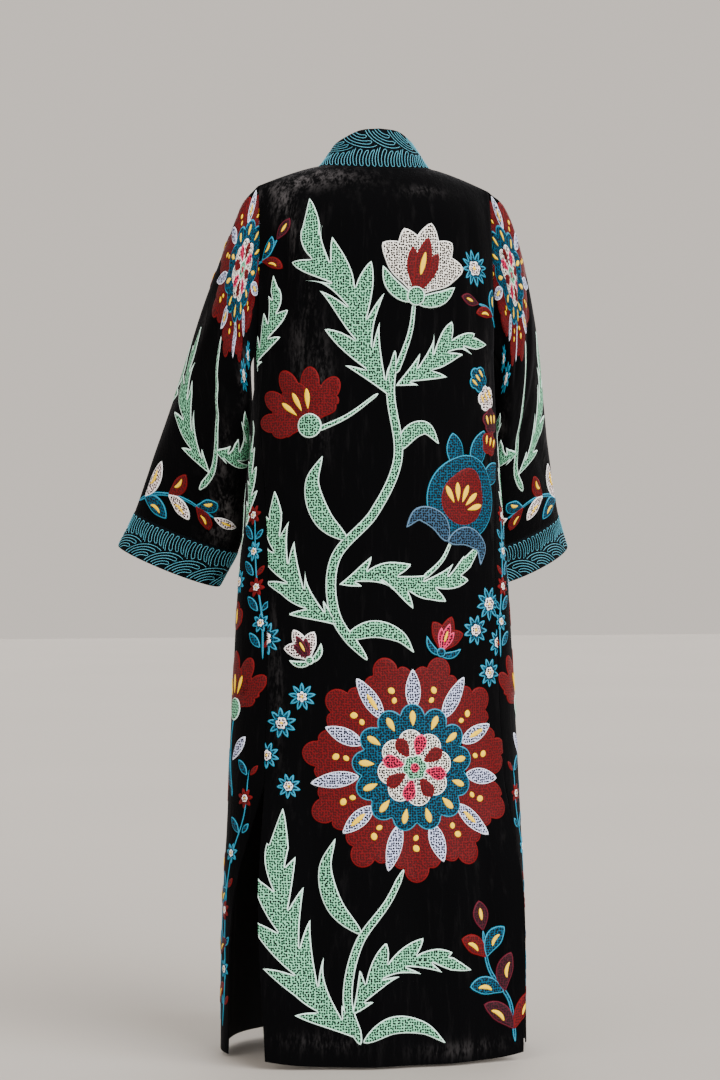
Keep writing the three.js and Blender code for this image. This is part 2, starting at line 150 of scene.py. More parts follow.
def evenly(points, shares):
    # points at the given shares of a curve's length, straight between its own points
    along = lengths(points)
    places = np.asarray(shares) * along[-1]
    return np.stack([np.interp(places, along, points[:, i]) for i in range(points.shape[1])], -1)


def sleevePoint(at, angle):
    # an oval ring about the middle of its outer line (angle 0) and its under line (a half turn):
    # middle + half their difference x cos + the way backwards x its stand-off x sin
    at, angle = np.broadcast_arrays(np.asarray(at, float), np.asarray(angle, float))
    value = {name: column(sleeveSections, "at", at, name) for name in sleeveSections}
    outer, under = (np.stack([value[line + axis] for axis in "XYZ"], -1) for line in ("out", "in"))
    turn = np.radians(value["turn"])
    backward = np.stack([np.sin(turn), np.cos(turn), -value["dip"]], -1)
    standOff = np.where(np.sin(angle) > 0, value["back"], value["front"])
    return ((outer + under) / 2 + (outer - under) * 0.5 * np.cos(angle)[..., None]
            + backward * (standOff * np.sin(angle))[..., None])


armholeTop = sleevePoint(0, 0)


def topHeight(x):
    # the shoulder line and the back neckline, by distance from the centre
    neck, drop = robe["neckHalfWidth"], robe["neckDrop"]
    beyond = np.maximum(0, (x - neck) / (armholeTop[0] - neck)) ** robe["shoulderRise"]
    return np.where(x <= neck, -drop * (1 - (np.minimum(x, neck) / neck) ** 2), armholeTop[2] * beyond)


def turnOver(share):
    # the top of the shoulder is a quarter circle: sqrt(1 - (1 - share / round)^2), then 1
    return np.sqrt(1 - (1 - np.minimum(1, share / robe["shoulderRound"])) ** 2)


def ellipseDepth(x, depth, edgeX, edgeY):
    # the ellipse of this depth at the centre that passes through the edge: depth x sqrt(1 - (x / widest)^2)
    widest = edgeX / np.sqrt(1 - (edgeY / depth) ** 2)
    return depth * np.sqrt(np.maximum(0, 1 - (x / widest) ** 2))


def sideEdge(z, slitEdge):
    # x and y of a panel's edge: the side seam above the slit, the slit's own edge below its top
    above = z >= robe["slitTopZ"]
    return [np.where(above, column(sideSeam, "z", z, name), column(slitEdge, "z", z, name))
            for name in "xy"]


def foldPush(folds, across, z):
    # each fold is a trough, depth x exp(-((across - place) / width)^2), that grows from its start down to
    # the hem
    push = 0
    for place, width, depth, start in zip(folds["across"], folds["width"], folds["depth"], folds["from"]):
        grown = smooth((start - z) / (start - robe["hemZ"]))
        push = push - depth * grown * np.exp(-(((across - place) / width) ** 2))
    return push


def rowPlaces(steps):
    # the yoke's rows by angle round the armhole, then the heights of the rows below the underarm
    angles = np.linspace(0, pi, robe["yokeRows"] * steps[0] + 1)
    side = np.linspace(robe["underarmZ"], robe["slitTopZ"], robe["sideRows"] * steps[1] + 1)[1:]
    slit = np.linspace(robe["slitTopZ"], robe["hemZ"], robe["slitRows"] * steps[2] + 1)[1:]
    return angles, np.concatenate([side, slit])


def backHalf(steps, k):
    # back panel from its centre to the left edge, at column places k: rows of ellipses, the yoke's rows
    # tilted from the shoulder line to the underarm by (1 - cos) / 2
    angles, heights = rowPlaces(steps)
    neck, columns = robe["neckColumns"], robe["neckColumns"] + robe["shoulderColumns"]
    share = (1 - np.cos(angles))[:, None] / 2
    edge = sleevePoint(0, angles)
    over = turnOver(share)
    rowEdgeY = np.where(over > 0, edge[:, 1:2] / np.maximum(over, 1e-9), 0)
    atTop = np.where(k <= neck, robe["neckHalfWidth"] * np.sin(np.minimum(k, neck) / neck * pi / 2),
                     mix(robe["neckHalfWidth"], armholeTop[0], (k - neck) / robe["shoulderColumns"]))
    x = mix(atTop / armholeTop[0] * edge[:, :1], k / columns * edge[:, :1], smooth(share))
    topY = robe["neckDepth"] * np.sqrt(np.maximum(0, 1 - (atTop / robe["neckHalfWidth"]) ** 2))
    y = mix(topY, ellipseDepth(x, column(yokeDepths, "share", share, "back"), edge[:, :1], rowEdgeY), over)
    yoke = np.stack([x, y, mix(topHeight(atTop) + 0 * x, robe["underarmZ"], share)], -1)
    yoke[:, -1] = edge
    t = np.linspace(0, 1, robe["rowSamples"])
    skirt = []
    for z in heights:
        edgeX, edgeY = sideEdge(z, backSlitEdge)
        rise = robe["backCornerRise"] * smooth((robe["slitTopZ"] - z) / (robe["slitTopZ"] - robe["hemZ"]))
        y = ellipseDepth(t * edgeX, column(bodySections, "z", z, "back"), edgeX, edgeY)
        skirt.append(evenly(np.stack([t * edgeX, y, z + rise * t ** 4], -1), k / columns))
    return np.concatenate([yoke, skirt])


flipX = np.array([-1.0, 1, 1])


def bothHalves(half):
    # the half mirrored in x and joined along its first column
    return np.concatenate([half[:, :0:-1] * flipX, half], 1)


def stretched(coarse, rowSteps, columnSteps):
    # coarse values spread over the fine grid, with level ends between coarse rows and columns
    starts = np.concatenate([[0], np.cumsum(rowSteps)])
    rows = np.interp(np.arange(starts[-1] + 1), starts, np.arange(len(starts)))
    cols = np.arange((coarse.shape[1] - 1) * columnSteps + 1) / columnSteps
    i = np.minimum(rows.astype(int), coarse.shape[0] - 2)
    j = np.minimum(cols.astype(int), coarse.shape[1] - 2)
    f, g = smooth(rows - i)[:, None, None], smooth(cols - j)[None, :, None]
    a = mix(coarse[i][:, j], coarse[i][:, j + 1], g)
    return mix(a, mix(coarse[i + 1][:, j], coarse[i + 1][:, j + 1], g), f)


def backGrid():
    # the whole back: both halves, the top rows evened out by the mean of their neighbours, then the folds
    columns = robe["neckColumns"] + robe["shoulderColumns"]
    steps = (fine["yoke"], fine["side"], fine["slit"])
    plain = bothHalves(backHalf((1, 1, 1), np.arange(columns + 1.0)))
    relaxed = plain.copy()
    depth = robe["relaxDepth"]
    strength = (robe["relaxStrength"] * (1 - np.arange(1, depth) / depth))[:, None, None]
    for _ in range(robe["relaxPasses"]):
        rows = relaxed[1:depth]
        mean = (rows[:, :-2] + rows[:, 2:]) / 2
        relaxed[1:depth, 1:-1] = mix(rows[:, 1:-1], mean, strength)
    rowSteps = [steps[0]] * robe["yokeRows"] + [steps[1]] * robe["sideRows"] + [steps[2]] * robe["slitRows"]
    grid = bothHalves(backHalf(steps, np.arange(columns * fine["back"] + 1) / fine["back"]))
    grid = grid + stretched(relaxed - plain, rowSteps, fine["back"])
    across = np.linspace(-1, 1, grid.shape[1])
    grid[..., 1] += foldPush(hangingFolds["back"], across, grid[..., 2]) * (1 - across ** 8)
    return grid


def frontGrid():
    # left front from its side to the band, in rows; each row is an arc of an oval about the body:
    # (widest x cos, depth x sin x over)
    angles, heights = rowPlaces((fine["yoke"], fine["side"], fine["slit"]))
    shares = np.linspace(0, 1, robe["shoulderColumns"] * fine["front"] + 1)
    t = np.linspace(0, 1, robe["rowSamples"])

    def row(edgeX, edgeY, reach, depth, over, z):
        # one row from the side edge to the band's seam, its points evenly spaced
        behind = edgeY > 0
        widest = max(reach, edgeX + 0.5) if behind else edgeX / np.sqrt(1 - (edgeY / depth) ** 2)
        start = np.arccos(edgeX / widest) if behind else np.arcsin(edgeY / depth)
        sideDepth = edgeY / np.sin(start) if behind else depth
        end = -np.arccos(min(1, column(bandSeam, "z", z[-1], "x") / widest))
        angle = mix(start, end, t)
        y = np.where(angle > 0, sideDepth, depth) * np.sin(angle) * over
        return np.column_stack([evenly(np.stack([widest * np.cos(angle), y], -1), shares), z])

    rows = []
    topX = mix(armholeTop[0], robe["neckHalfWidth"], shares)
    for angle in angles:
        share = (1 - np.cos(angle)) / 2
        over = turnOver(share)
        edge = sleevePoint(0, -angle)
        if over == 0:
            rows.append(np.column_stack([topX, 0 * topX, topHeight(topX)]))
            continue
        z = mix(topHeight(topX), robe["underarmZ"], share)
        depth = column(yokeDepths, "share", share, "front")
        points = row(edge[0], edge[1] / over, bodySections["sideReach"][0], depth, over, z)
        points[0] = edge
        rows.append(points)
    for height in heights:
        down = (height - robe["underarmZ"]) / (robe["hemZ"] - robe["underarmZ"])
        z = height + robe["frontHemRise"] * down ** 2 * np.sin(shares * pi / 2)
        edgeX, edgeY = sideEdge(height, frontSlitEdge)
        reach, depth = (column(bodySections, "z", height, name) for name in ("sideReach", "front"))
        points = row(edgeX, edgeY, reach, depth, 1, z)
        push = foldPush(hangingFolds["front"], shares, height) * np.sqrt(np.maximum(0, np.sin(pi * shares)))
        outward = unit(points * [1, 1, 0])
        rows.append(points + outward * push[:, None])
    return np.array(rows)


def bandGrid(backRow, frontRows):
    # the band in stations from the right hem, round the neck, to the left hem, and columns from seam to
    # free edge: seam + reach x share + bow x 4 share (1 - share)
    shares = np.linspace(0, 1, fine["band"] + 1)
    half = len(backRow) // 2
    neck = backRow[half:half + robe["neckColumns"] * fine["back"] + 1]
    around = np.linspace(0, 1, len(neck))
    reach = np.stack([column(collarStand, "share", around, name) for name in ("in", "forward", "rise")], -1)
    seam = frontRows[1:, -1]
    nextIn = frontRows[1:, -1 - fine["front"]]
    flatness = smooth(-seam[:, 2] / (robe["neckV"] - 20))[:, None]
    below = (np.arange(1, len(seam) + 1) - robe["yokeRows"] * fine["yoke"]) / fine["side"]
    lean = mix(*robe["bandLean"], np.clip(below - 1, 0, 1))
    slope = (seam[:, 1] - nextIn[:, 1]) / (nextIn[:, 0] - seam[:, 0])
    chest = np.stack([-np.ones(len(seam)), lean * slope, np.zeros(len(seam))], -1)
    stand = reach[-1]
    width = mix(np.linalg.norm(stand), robe["frontBand"], smooth(flatness * 2))
    down = unit(mix(stand, unit(chest) * robe["frontBand"], flatness)) * width
    seamPoints, reach = np.concatenate([neck, seam]), np.concatenate([reach, down])
    bow = robe["collarBow"] * np.concatenate([np.ones((len(neck), 1)), 1 - flatness])
    outward = unit(seamPoints * [1, 1, 0])
    left = (seamPoints[:, None] + reach[:, None] * shares[None, :, None]
            + (outward * bow)[:, None] * (4 * shares * (1 - shares))[None, :, None])
    return np.concatenate([left[:0:-1] * flipX, left])


def ringGrid(start, end, rings):
    # rings of the sleeve from one place along it to another, each a full turn of even angles
    half = robe["yokeRows"] * fine["round"]
    angles = np.arange(2 * half) * pi / half
    return sleevePoint(np.linspace(start, end, rings + 1)[:, None], angles[None, :])


class Value:
    # a node's output that can be used in sums, where each operator adds one Math node. The reflected
    # forms let plain numbers come first
    def __init__(self, finish, socket):
        self.finish, self.socket = finish, socket

    def maths(self, operation, *values):
        # one Math node with these values
        return self.finish.node("Math", {"operation": operation}, dict(enumerate(values)))

    def __add__(self, other):
        return self.maths("ADD", self, other)

    def __sub__(self, other):
        return self.maths("SUBTRACT", self, other)

    def __rsub__(self, other):
        return self.maths("SUBTRACT", other, self)

    def __mul__(self, other):
        return self.maths("MULTIPLY", self, other)

    __radd__, __rmul__ = __add__, __mul__


class Finish:
    # a material, and short ways to add the nodes that the finishes use
    def __init__(self, name):
        self.material = bpy.data.materials.new(name)
        self.material.use_nodes = True
        self.tree = self.material.node_tree
        self.tree.nodes.clear()

    def node(self, kind, settings=None, sockets=None, out=0):
        # adds any node, sets it up, then fills its sockets with numbers or links
        made = self.tree.nodes.new("ShaderNode" + kind)
        for key, setting in (settings or {}).items():
            if key == "stops":
                while len(made.color_ramp.elements) < len(setting):
                    made.color_ramp.elements.new(1)
                for element, (place, colour) in zip(made.color_ramp.elements, setting):
                    element.position, element.color = place, colour
            else:
                setattr(made, key, setting)
        for key, value in (sockets or {}).items():
            if isinstance(value, Value):
                self.tree.links.new(value.socket, made.inputs[key])
            else:
                made.inputs[key].default_value = value
        return Value(self, made.outputs[out])

    def coordinates(self):
        # places on the piece itself, in metres
        return self.node("TexCoord", out=3)

    def attribute(self, name, out=2):
        # values kept with the mesh: a colour (0), a vector (1) or a number (2)
        return self.node("Attribute", {"attribute_name": name}, out=out)

    def noise(self, vector, scale, detail=2, rough=0.5):
        # cloudy variation about a half
        sockets = {"Vector": vector, "Scale": scale, "Detail": detail, "Roughness": rough}
        return self.node("TexNoise", {}, sockets)

    def wave(self, vector, scale, distortion, way):
        # even stripes across one way, bent a little by distortion
        sockets = {"Vector": vector, "Scale": scale, "Distortion": distortion}
        return self.node("TexWave", {"bands_direction": way}, sockets)

    def scaled(self, vector, factors):
        # each coordinate times its own factor, which draws a pattern out where the factor is small
        return self.node("VectorMath", {"operation": "MULTIPLY"}, {0: vector, 1: factors})

    def between(self, value, low, high):
        # 0 at low, 1 at high, smooth in between, and low may be the larger
        return self.node("MapRange", {"interpolation_type": "SMOOTHSTEP"}, {0: value, 1: low, 2: high})

    def blend(self, share, first, second):
        # the first colour at 0, the second at 1
        return self.node("Mix", {"data_type": "RGBA"}, {0: share, 6: first, 7: second}, out=2)

    def bump(self, height, distance, strength=1.0, after=None):
        # the surface tilted by height x distance, on top of an earlier bump
        sockets = {"Height": height, "Distance": distance, "Strength": strength}
        if after is not None:
            sockets["Normal"] = after
        return self.node("Bump", {}, sockets)

    def surface(self, sockets):
        # ends the material in one shader with these sockets
        shader = self.node("BsdfPrincipled", {}, sockets)
        output = self.tree.nodes.new("ShaderNodeOutputMaterial")
        self.tree.links.new(shader.socket, output.inputs["Surface"])
        return self.material


def linear(red, green, blue, alpha=1.0):
    # a colour as a maker names it (0 to 255) to the light that it gives back, by the standard curve:
    # c / 12.92 for the darkest, ((c + 0.055) / 1.055)^2.4 above
    c = np.array([red, green, blue]) / 255
    c = np.where(c <= 0.04045, c / 12.92, ((c + 0.055) / 1.055) ** 2.4)
    return (*c.tolist(), alpha)


# the velvet's black, the grey of the painted sheen where light catches the pile, and where the sheen's
# streaks and the loose random streaks show
velvetSet = {
    "black": (4, 4, 5), "brushed": (74, 71, 72), "sheen": 0.05, "sheenRoughness": 0.35,
    "sheenTint": (0.9, 0.9, 1.0, 1), "nap": (80, 80, 11), "grain": (260.0, 260.0, 90.0), "pile": 900,
    "loose": (0.52, 0.8), "looseShare": 0.05, "paintedSheenStreaks": (0.44, 0.64),
}


def velvetFinish():
    # pile that stands up black, a little grey in loose random streaks, and painted sheen: grey streaks laid
    # in the listed patches where light catches the pile
    f = Finish("velvet")
    place, brushed = f.coordinates(), f.attribute("brushed")
    streaks = f.noise(f.scaled(place, velvetSet["nap"]), 1, 4, 0.62)
    grain = f.noise(f.scaled(place, velvetSet["grain"]), 1, 2, 0.6)
    loose = f.between(streaks, *velvetSet["loose"]) * velvetSet["looseShare"]
    # painted sheen: each point's patch share, broken into streaks
    paintedSheenStreaks = brushed * f.between(streaks * 0.6 + grain * 0.4, *velvetSet["paintedSheenStreaks"])
    pale = loose + paintedSheenStreaks
    pile = f.noise(place, velvetSet["pile"], 2, 0.7)
    # black pile, turned grey by the loose random streaks and by the painted sheen
    colour = f.blend(pale, linear(*velvetSet["black"]), linear(*velvetSet["brushed"]))
    lie = f.bump(streaks, 0.005, 0.3)
    return f.surface({
        "Base Color": colour, "Roughness": 0.9 - pale * 0.2, "Sheen Weight": velvetSet["sheen"],
        "Sheen Roughness": velvetSet["sheenRoughness"], "Sheen Tint": velvetSet["sheenTint"],
        "Specular IOR Level": 0.03, "Normal": f.bump(pile + grain * 0.6, 0.0006, 0.5, lie),
    })


def backingFinish():
    # the plain woven back of the cloth: warp and weft are two sets of fine waves
    f = Finish("cloth_back")
    place = f.coordinates()
    warp, weft = (f.wave(place, 320.0, 1.5, way) for way in "ZX")
    colour = f.blend(f.noise(place, 60), linear(14, 14, 16), linear(22, 22, 24))
    return f.surface({
        "Base Color": colour, "Roughness": 0.9, "Specular IOR Level": 0.2,
        "Normal": f.bump(warp + weft, 0.0003, 0.5),
    })


def trimGroundFinish():
    # fine ribbed ground under the couched cord
    f = Finish("trim_ground")
    place = f.coordinates()
    rib = f.wave(place, 260.0, 2.0, "DIAGONAL")
    colour = f.blend(f.noise(place, 40, 3), linear(1, 3, 6), linear(3, 10, 15))
    return f.surface({
        "Base Color": colour, "Roughness": 0.85, "Sheen Weight": 0.02, "Specular IOR Level": 0.06,
        "Normal": f.bump(rib + f.noise(place, 700) * 0.6, 0.0005, 0.6),
    })


velvet, clothBack, trimGround = velvetFinish(), backingFinish(), trimGroundFinish()
print("finishes made")


def meshPiece(name, points, faces, materials, faceMaterial=None, attributes=()):
    # points in millimetres, faces as lists of corners, attributes as (name, type, values per point)
    mesh = bpy.data.meshes.new(name)
    mesh.from_pydata((np.asarray(points) / 1000).tolist(), [], faces)
    for material in materials:
        mesh.materials.append(material)
    if faceMaterial is not None:
        mesh.polygons.foreach_set("material_index", np.asarray(faceMaterial, np.int32))
    for title, kind, values in attributes:
        layer = mesh.attributes.new(title, kind, "POINT")
        key = {"FLOAT": "value", "FLOAT_VECTOR": "vector", "FLOAT_COLOR": "color"}[kind]
        layer.data.foreach_set(key, np.asarray(values, np.float32).ravel())
    mesh.polygons.foreach_set("use_smooth", np.ones(len(mesh.polygons), bool))
    mesh.update()
    piece = bpy.data.objects.new(name, mesh)
    scene.collection.objects.link(piece)
    print(name, len(mesh.loops) - 2 * len(mesh.polygons), "triangles")
    return piece


def gridFaces(index, closed=False):
    # quads between neighbours of an index grid, turning from its columns to its rows
    if closed:
        index = np.concatenate([index, index[:, :1]], 1)
    a, b, c, d = index[:-1, :-1], index[:-1, 1:], index[1:, 1:], index[1:, :-1]
    return np.stack([a, b, c, d], -1).reshape(-1, 4)


class Panel:
    # a piece of cloth: a grid of points, outward directions, and flat sizes. Flat places are (s, t), with
    # s to the right as seen from outside, from the middle column, and t up from the last row
    def __init__(self, name, grid, wall, middle, right, outward=1, closed=False, worn=None):
        self.name, self.wall, self.right, self.outward, self.closed = name, wall, right, outward, closed
        self.points = grid
        self.normals = self.facing()
        self.order = np.arange(grid.shape[1])
        if closed:
            # opened opposite the middle column, so that flat sizes run both ways from it
            shift = (middle + grid.shape[1] // 2) % grid.shape[1]
            self.order = (np.arange(grid.shape[1] + 1) + shift) % grid.shape[1]
            middle = int(np.where(self.order[:-1] == middle)[0][0])
        spread = grid[:, self.order]
        steps = np.linalg.norm(np.diff(spread, axis=1), axis=-1)
        across = np.concatenate([np.zeros((len(grid), 1)), np.cumsum(steps, 1)], 1)
        self.across = across - across[:, middle:middle + 1]
        down = lengths(spread[:, middle])
        self.up = down[-1] - down
        flatS = np.empty(grid.shape[:2])
        flatS[:, self.order] = self.across * right
        self.flat = np.stack([flatS, np.broadcast_to(self.up[:, None], flatS.shape)], -1)
        self.crease(worn["creases"] if worn else [])
        # the share of painted sheen at each point
        self.brushed = self.nap(worn["brushed"] if worn else [])
        self.normals = self.facing()

    def facing(self):
        # outward directions: the cross product of the ways along a row and down a column
        p = self.points
        if self.closed:
            along = np.roll(p, -1, 1) - np.roll(p, 1, 1)
        else:
            along = np.gradient(p, axis=1)
        return unit(np.cross(along, np.gradient(p, axis=0))) * self.outward

    def crease(self, creases):
        # each crease lifts (or sinks, under 0) the cloth by height x exp(-(off / width)^2) across its line,
        # a quarter of it at the ends; near a seam it dies out, so that neighbours still meet
        lift = np.zeros(self.flat.shape[:2])
        for s0, t0, s1, t1, width, height in creases:
            start, line = np.array([s0, t0]), np.array([s1 - s0, t1 - t0])
            share = np.clip(((self.flat - start) @ line) / (line @ line), 0, 1)
            off = np.linalg.norm(self.flat - start - share[..., None] * line, axis=-1)
            lift += height * np.exp(-((off / width) ** 2)) * (0.25 + 0.75 * np.sin(pi * share))
        if self.closed:
            fromEnd = np.minimum(self.up, self.up[0] - self.up)[:, None]
        else:
            fromEnd = np.minimum(self.across - self.across[:, :1], self.across[:, -1:] - self.across)
        self.points = self.points + self.normals * (lift * smooth(fromEnd / wornSet["seamFade"]))[..., None]

    def nap(self, patches):
        # how much painted sheen each point has, where light catches the pile: the strongest of the patches,
        # each share x exp(-(distance)^2) in its own half sizes
        shown = np.zeros(self.flat.shape[:2])
        for s0, t0, wide, tall, share in patches:
            away = ((self.flat[..., 0] - s0) / wide) ** 2 + ((self.flat[..., 1] - t0) / tall) ** 2
            shown = np.maximum(shown, share * np.exp(-away))
        return shown

    def place(self, flat, lift):
        # flat places and heights above the cloth to points in space, straight between the grid's points.
        # What runs past an edge stops at it
        s, t = flat[..., 0].ravel() * self.right, flat[..., 1].ravel()
        row = np.interp(-t, -self.up, np.arange(len(self.up)))
        i = np.minimum(row.astype(int), len(self.up) - 2)
        f = (row - i)[:, None]
        across = mix(self.across[i], self.across[i + 1], f)
        if self.closed:
            low, turn = across[:, 0], across[:, -1] - across[:, 0]
            s = (s - low) % turn + low
        k = np.clip((across < s[:, None]).sum(1) - 1, 0, across.shape[1] - 2)
        left, right = (np.take_along_axis(across, k[:, None] + one, 1)[:, 0] for one in (0, 1))
        g = np.clip((s - left) / np.maximum(right - left, 1e-6), 0, 1)[:, None]
        a, b = self.order[k], self.order[np.minimum(k + 1, len(self.order) - 1)]

        def on(field):
            # the field between its four nearest grid values
            return mix(mix(field[i, a], field[i, b], g), mix(field[i + 1, a], field[i + 1, b], g), f)

        points = on(self.points) + unit(on(self.normals)) * lift.ravel()[:, None]
        return points.reshape(*flat.shape[:-1], 3)

    def shell(self, materials):
        # the outer and the inner face, joined by rounded rims that stand back from the seam
        half = self.wall / 2
        bend = np.radians([90, 60, 30, 0])
        p, n = self.points, self.normals

        def rimmed(p, n, axis):
            # the first and last rows each become four, set back by the rim's quarter circle
            p, n = np.moveaxis(p, axis, 0), np.moveaxis(n, axis, 0)
            ends = []
            for edge, inner in ((p[0], p[1]), (p[-1], p[-2])):
                gap = np.linalg.norm(edge - inner, axis=-1, keepdims=True)
                out = (edge - inner) / np.maximum(gap, 1e-6)
                roll, back = np.minimum(half, 0.4 * gap), np.minimum(robe["setback"], 0.2 * gap)
                ends.append([edge - out * (roll * (1 - np.sin(a)) + back) for a in bend])
            p = np.concatenate([ends[0], p[1:-1], ends[1][::-1]])
            n = np.concatenate([np.repeat(n[:1], 4, 0), n[1:-1], np.repeat(n[-1:], 4, 0)])
            return np.moveaxis(p, 0, axis), np.moveaxis(n, 0, axis)

        def fullness(count):
            # how much of the wall's thickness each row has: 0 at the rim, 1 on the cloth
            return np.concatenate([np.cos(bend), np.ones(count - 2), np.cos(bend[::-1])])

        high = fullness(p.shape[0])[:, None] * np.ones(p.shape[1])
        p, n = rimmed(p, n, 0)
        if not self.closed:
            high = fullness(self.points.shape[0])[:, None] * fullness(self.points.shape[1])
            p, n = rimmed(p, n, 1)
        outer = p - n * (half * (1 - high))[..., None]
        inner = p - n * (half * (1 + high))[..., None]
        index = np.arange(outer.shape[0] * outer.shape[1]).reshape(outer.shape[:2])
        under = np.zeros_like(index)
        edge = np.zeros(index.shape, bool)
        edge[[0, -1]] = True
        if not self.closed:
            edge[:, [0, -1]] = True
        under[edge] = index[edge]
        under[~edge] = index.size + np.arange((~edge).sum())
        outerFaces, innerFaces = gridFaces(index, self.closed), gridFaces(under, self.closed)[:, ::-1]
        if self.outward < 0:
            outerFaces, innerFaces = outerFaces[:, ::-1], innerFaces[:, ::-1]
        points = np.concatenate([outer.reshape(-1, 3), inner[~edge]])
        kinds = np.repeat([0, 1], [len(outerFaces), len(innerFaces)])
        # the painted sheen's share for every point: the rim rows take their edge's, the inner face none
        brushed = np.pad(self.brushed, ((3, 3), (0 if self.closed else 3,) * 2), "edge")
        brushed = np.concatenate([brushed.ravel(), np.zeros((~edge).sum())])
        faces = np.concatenate([outerFaces, innerFaces]).tolist()
        return meshPiece(self.name, points, faces, materials, kinds, [("brushed", "FLOAT", brushed)])

    def area(self):
        # square metres of cloth: half the cross product of each grid square's diagonals
        p = self.points[:, self.order]
        a = np.cross(p[1:, 1:] - p[:-1, :-1], p[1:, :-1] - p[:-1, 1:])
        return np.linalg.norm(a, axis=-1).sum() / 2e6


# where creases die out towards a seam. Creases are from (s, t) to (s, t), half width and height (under 0 a
# trough); painted sheen, where light catches the pile, is a place (s, t), half sizes and share
wornSet = {"seamFade": 25}
wornBack = {
    "creases": [
        (-166, 1432, -184, 1205, 12, -5.5), (-146, 1440, -158, 1250, 11, 3.5),
        (-118, 1425, -128, 1010, 15, 2.6), (-92, 1385, -98, 1075, 13, -2.2),
        (152, 1428, 172, 1226, 13, -4.5), (130, 1405, 138, 1130, 14, 2.4),
        (198, 1120, 128, 985, 15, -3.5), (-200, 1140, -138, 1030, 14, -3.2),
        (-190, 985, -96, 905, 17, -2.4), (24, 1330, 44, 870, 24, 2.0), (-40, 1240, -30, 930, 20, -1.6),
        (190, 900, 120, 800, 16, -2.2), (-152, 24, -134, 505, 22, -5), (-104, 18, -98, 338, 17, 3.2),
        (38, 16, 22, 442, 26, -4.5), (112, 20, 98, 640, 20, 3.4), (172, 22, 154, 392, 16, -4.6),
        (-28, 20, -40, 268, 20, 3), (-60, 610, -70, 830, 22, -2.4), (70, 560, 84, 800, 24, -2.6),
    ],
    # painted sheen patches, grey laid where light catches the pile, most on the left shoulder
    "brushed": [
        (-136, 1480, 78, 20, 1.0), (-178, 1450, 20, 34, 0.85), (-160, 1392, 8, 44, 0.7),
        (-134, 1300, 9, 120, 0.35), (-118, 1120, 20, 84, 0.4), (-150, 1180, 16, 60, 0.25),
        (200, 1060, 12, 130, 0.3), (66, 1452, 40, 10, 0.25), (-194, 640, 12, 120, 0.25),
        (-120, 40, 70, 14, 0.25), (110, 22, 70, 12, 0.3),
    ],
}
wornFront = {
    "creases": [
        (96, 1420, 150, 1200, 15, 3.4), (62, 1400, 66, 1010, 16, -3.2), (236, 1150, 150, 1030, 15, -5),
        (252, 1060, 186, 968, 13, -3.6), (160, 1330, 196, 1120, 14, -3.4), (120, 1060, 112, 700, 22, 3.2),
        (70, 26, 58, 566, 22, -5.5), (146, 20, 136, 706, 22, 4.2), (214, 22, 208, 488, 19, -5.5),
        (262, 20, 252, 330, 13, 3.2), (240, 880, 150, 806, 17, -2.6), (34, 760, 40, 430, 13, -2.6),
    ],
    # painted sheen patches, grey laid where light catches the pile
    "brushed": [
        (70, 1440, 40, 20, 0.6), (120, 1330, 14, 90, 0.45), (220, 1090, 30, 40, 0.4),
        (60, 900, 16, 140, 0.35), (180, 560, 20, 110, 0.3), (100, 40, 70, 18, 0.35),
    ],
}
wornSleeve = {
    "creases": [
        (96, 442, -52, 348, 13, -5.5), (108, 376, -18, 262, 12, -4.4), (70, 268, -70, 206, 14, -3.6),
        (-64, 566, -72, 150, 18, 3.4), (30, 560, 52, 452, 12, -3.2), (24, 190, 60, 24, 16, -3),
        (-110, 330, -96, 60, 15, -2.6), (206, 452, 292, 330, 14, -5.6), (192, 330, 286, 252, 13, -4.4),
        (214, 232, 300, 168, 14, -3.2), (152, 430, 122, 110, 56, 8.5), (170, 610, 158, 400, 48, 4.5),
        (262, 540, 250, 380, 15, 3), (240, 150, 262, 20, 15, -3), (-160, 520, -176, 260, 17, 2.8),
        (-206, 300, -150, 210, 14, -3.4),
    ],
    # painted sheen patches, grey laid where light catches the pile
    "brushed": [
        (78, 78, 22, 62, 0.9), (60, 190, 16, 60, 0.5), (84, 390, 18, 40, 0.6), (-40, 600, 40, 24, 0.5),
        (-96, 250, 14, 90, 0.3), (250, 420, 24, 60, 0.4), (280, 120, 20, 70, 0.35),
    ],
}

backPoints, frontPoints = backGrid(), frontGrid()
bandPoints = bandGrid(backPoints[0], frontPoints)
sleevePoints = ringGrid(0, 1, 12 * fine["sleeve"])
cuffPoints = ringGrid(1, 1.12, 2 * fine["cuff"])
# the column a quarter turn round a sleeve, and where it comes once the columns are in the other order
quarter = robe["yokeRows"] * fine["round"] // 2
turnedQuarter = 3 * quarter - 1
lastFront = frontPoints.shape[1] - 1


def otherSide(grid):
    # the same cloth for the wearer's right side: mirrored in x, its columns in the other order
    return grid[:, ::-1] * flipX


def isTrim(node):
    # the cuffs and the band are corded trim, and the rest is velvet
    return node.startswith(("cuff", "collar"))


panels = {
    "back": Panel("back_cloth", backPoints, robe["wall"], backPoints.shape[1] // 2, -1, worn=wornBack),
    "front_left": Panel("front_left_cloth", frontPoints, robe["wall"], lastFront, -1, worn=wornFront),
    "front_right": Panel("front_right_cloth", otherSide(frontPoints), robe["wall"], 0, -1, worn=wornFront),
    "sleeve_left": Panel("sleeve_left_cloth", sleevePoints, robe["wall"], quarter, 1, -1, True, wornSleeve),
    "sleeve_right": Panel("sleeve_right_cloth", otherSide(sleevePoints), robe["wall"], turnedQuarter, 1, -1,
                          True, wornSleeve),
    "cuff_left": Panel("cuff_left_trim", cuffPoints, robe["trimWall"], quarter, 1, -1, True),
    "cuff_right": Panel("cuff_right_trim", otherSide(cuffPoints), robe["trimWall"], turnedQuarter, 1, -1,
                        True),
    "collar_band": Panel("collar_band_trim", bandPoints, robe["trimWall"], 0, 1),
}
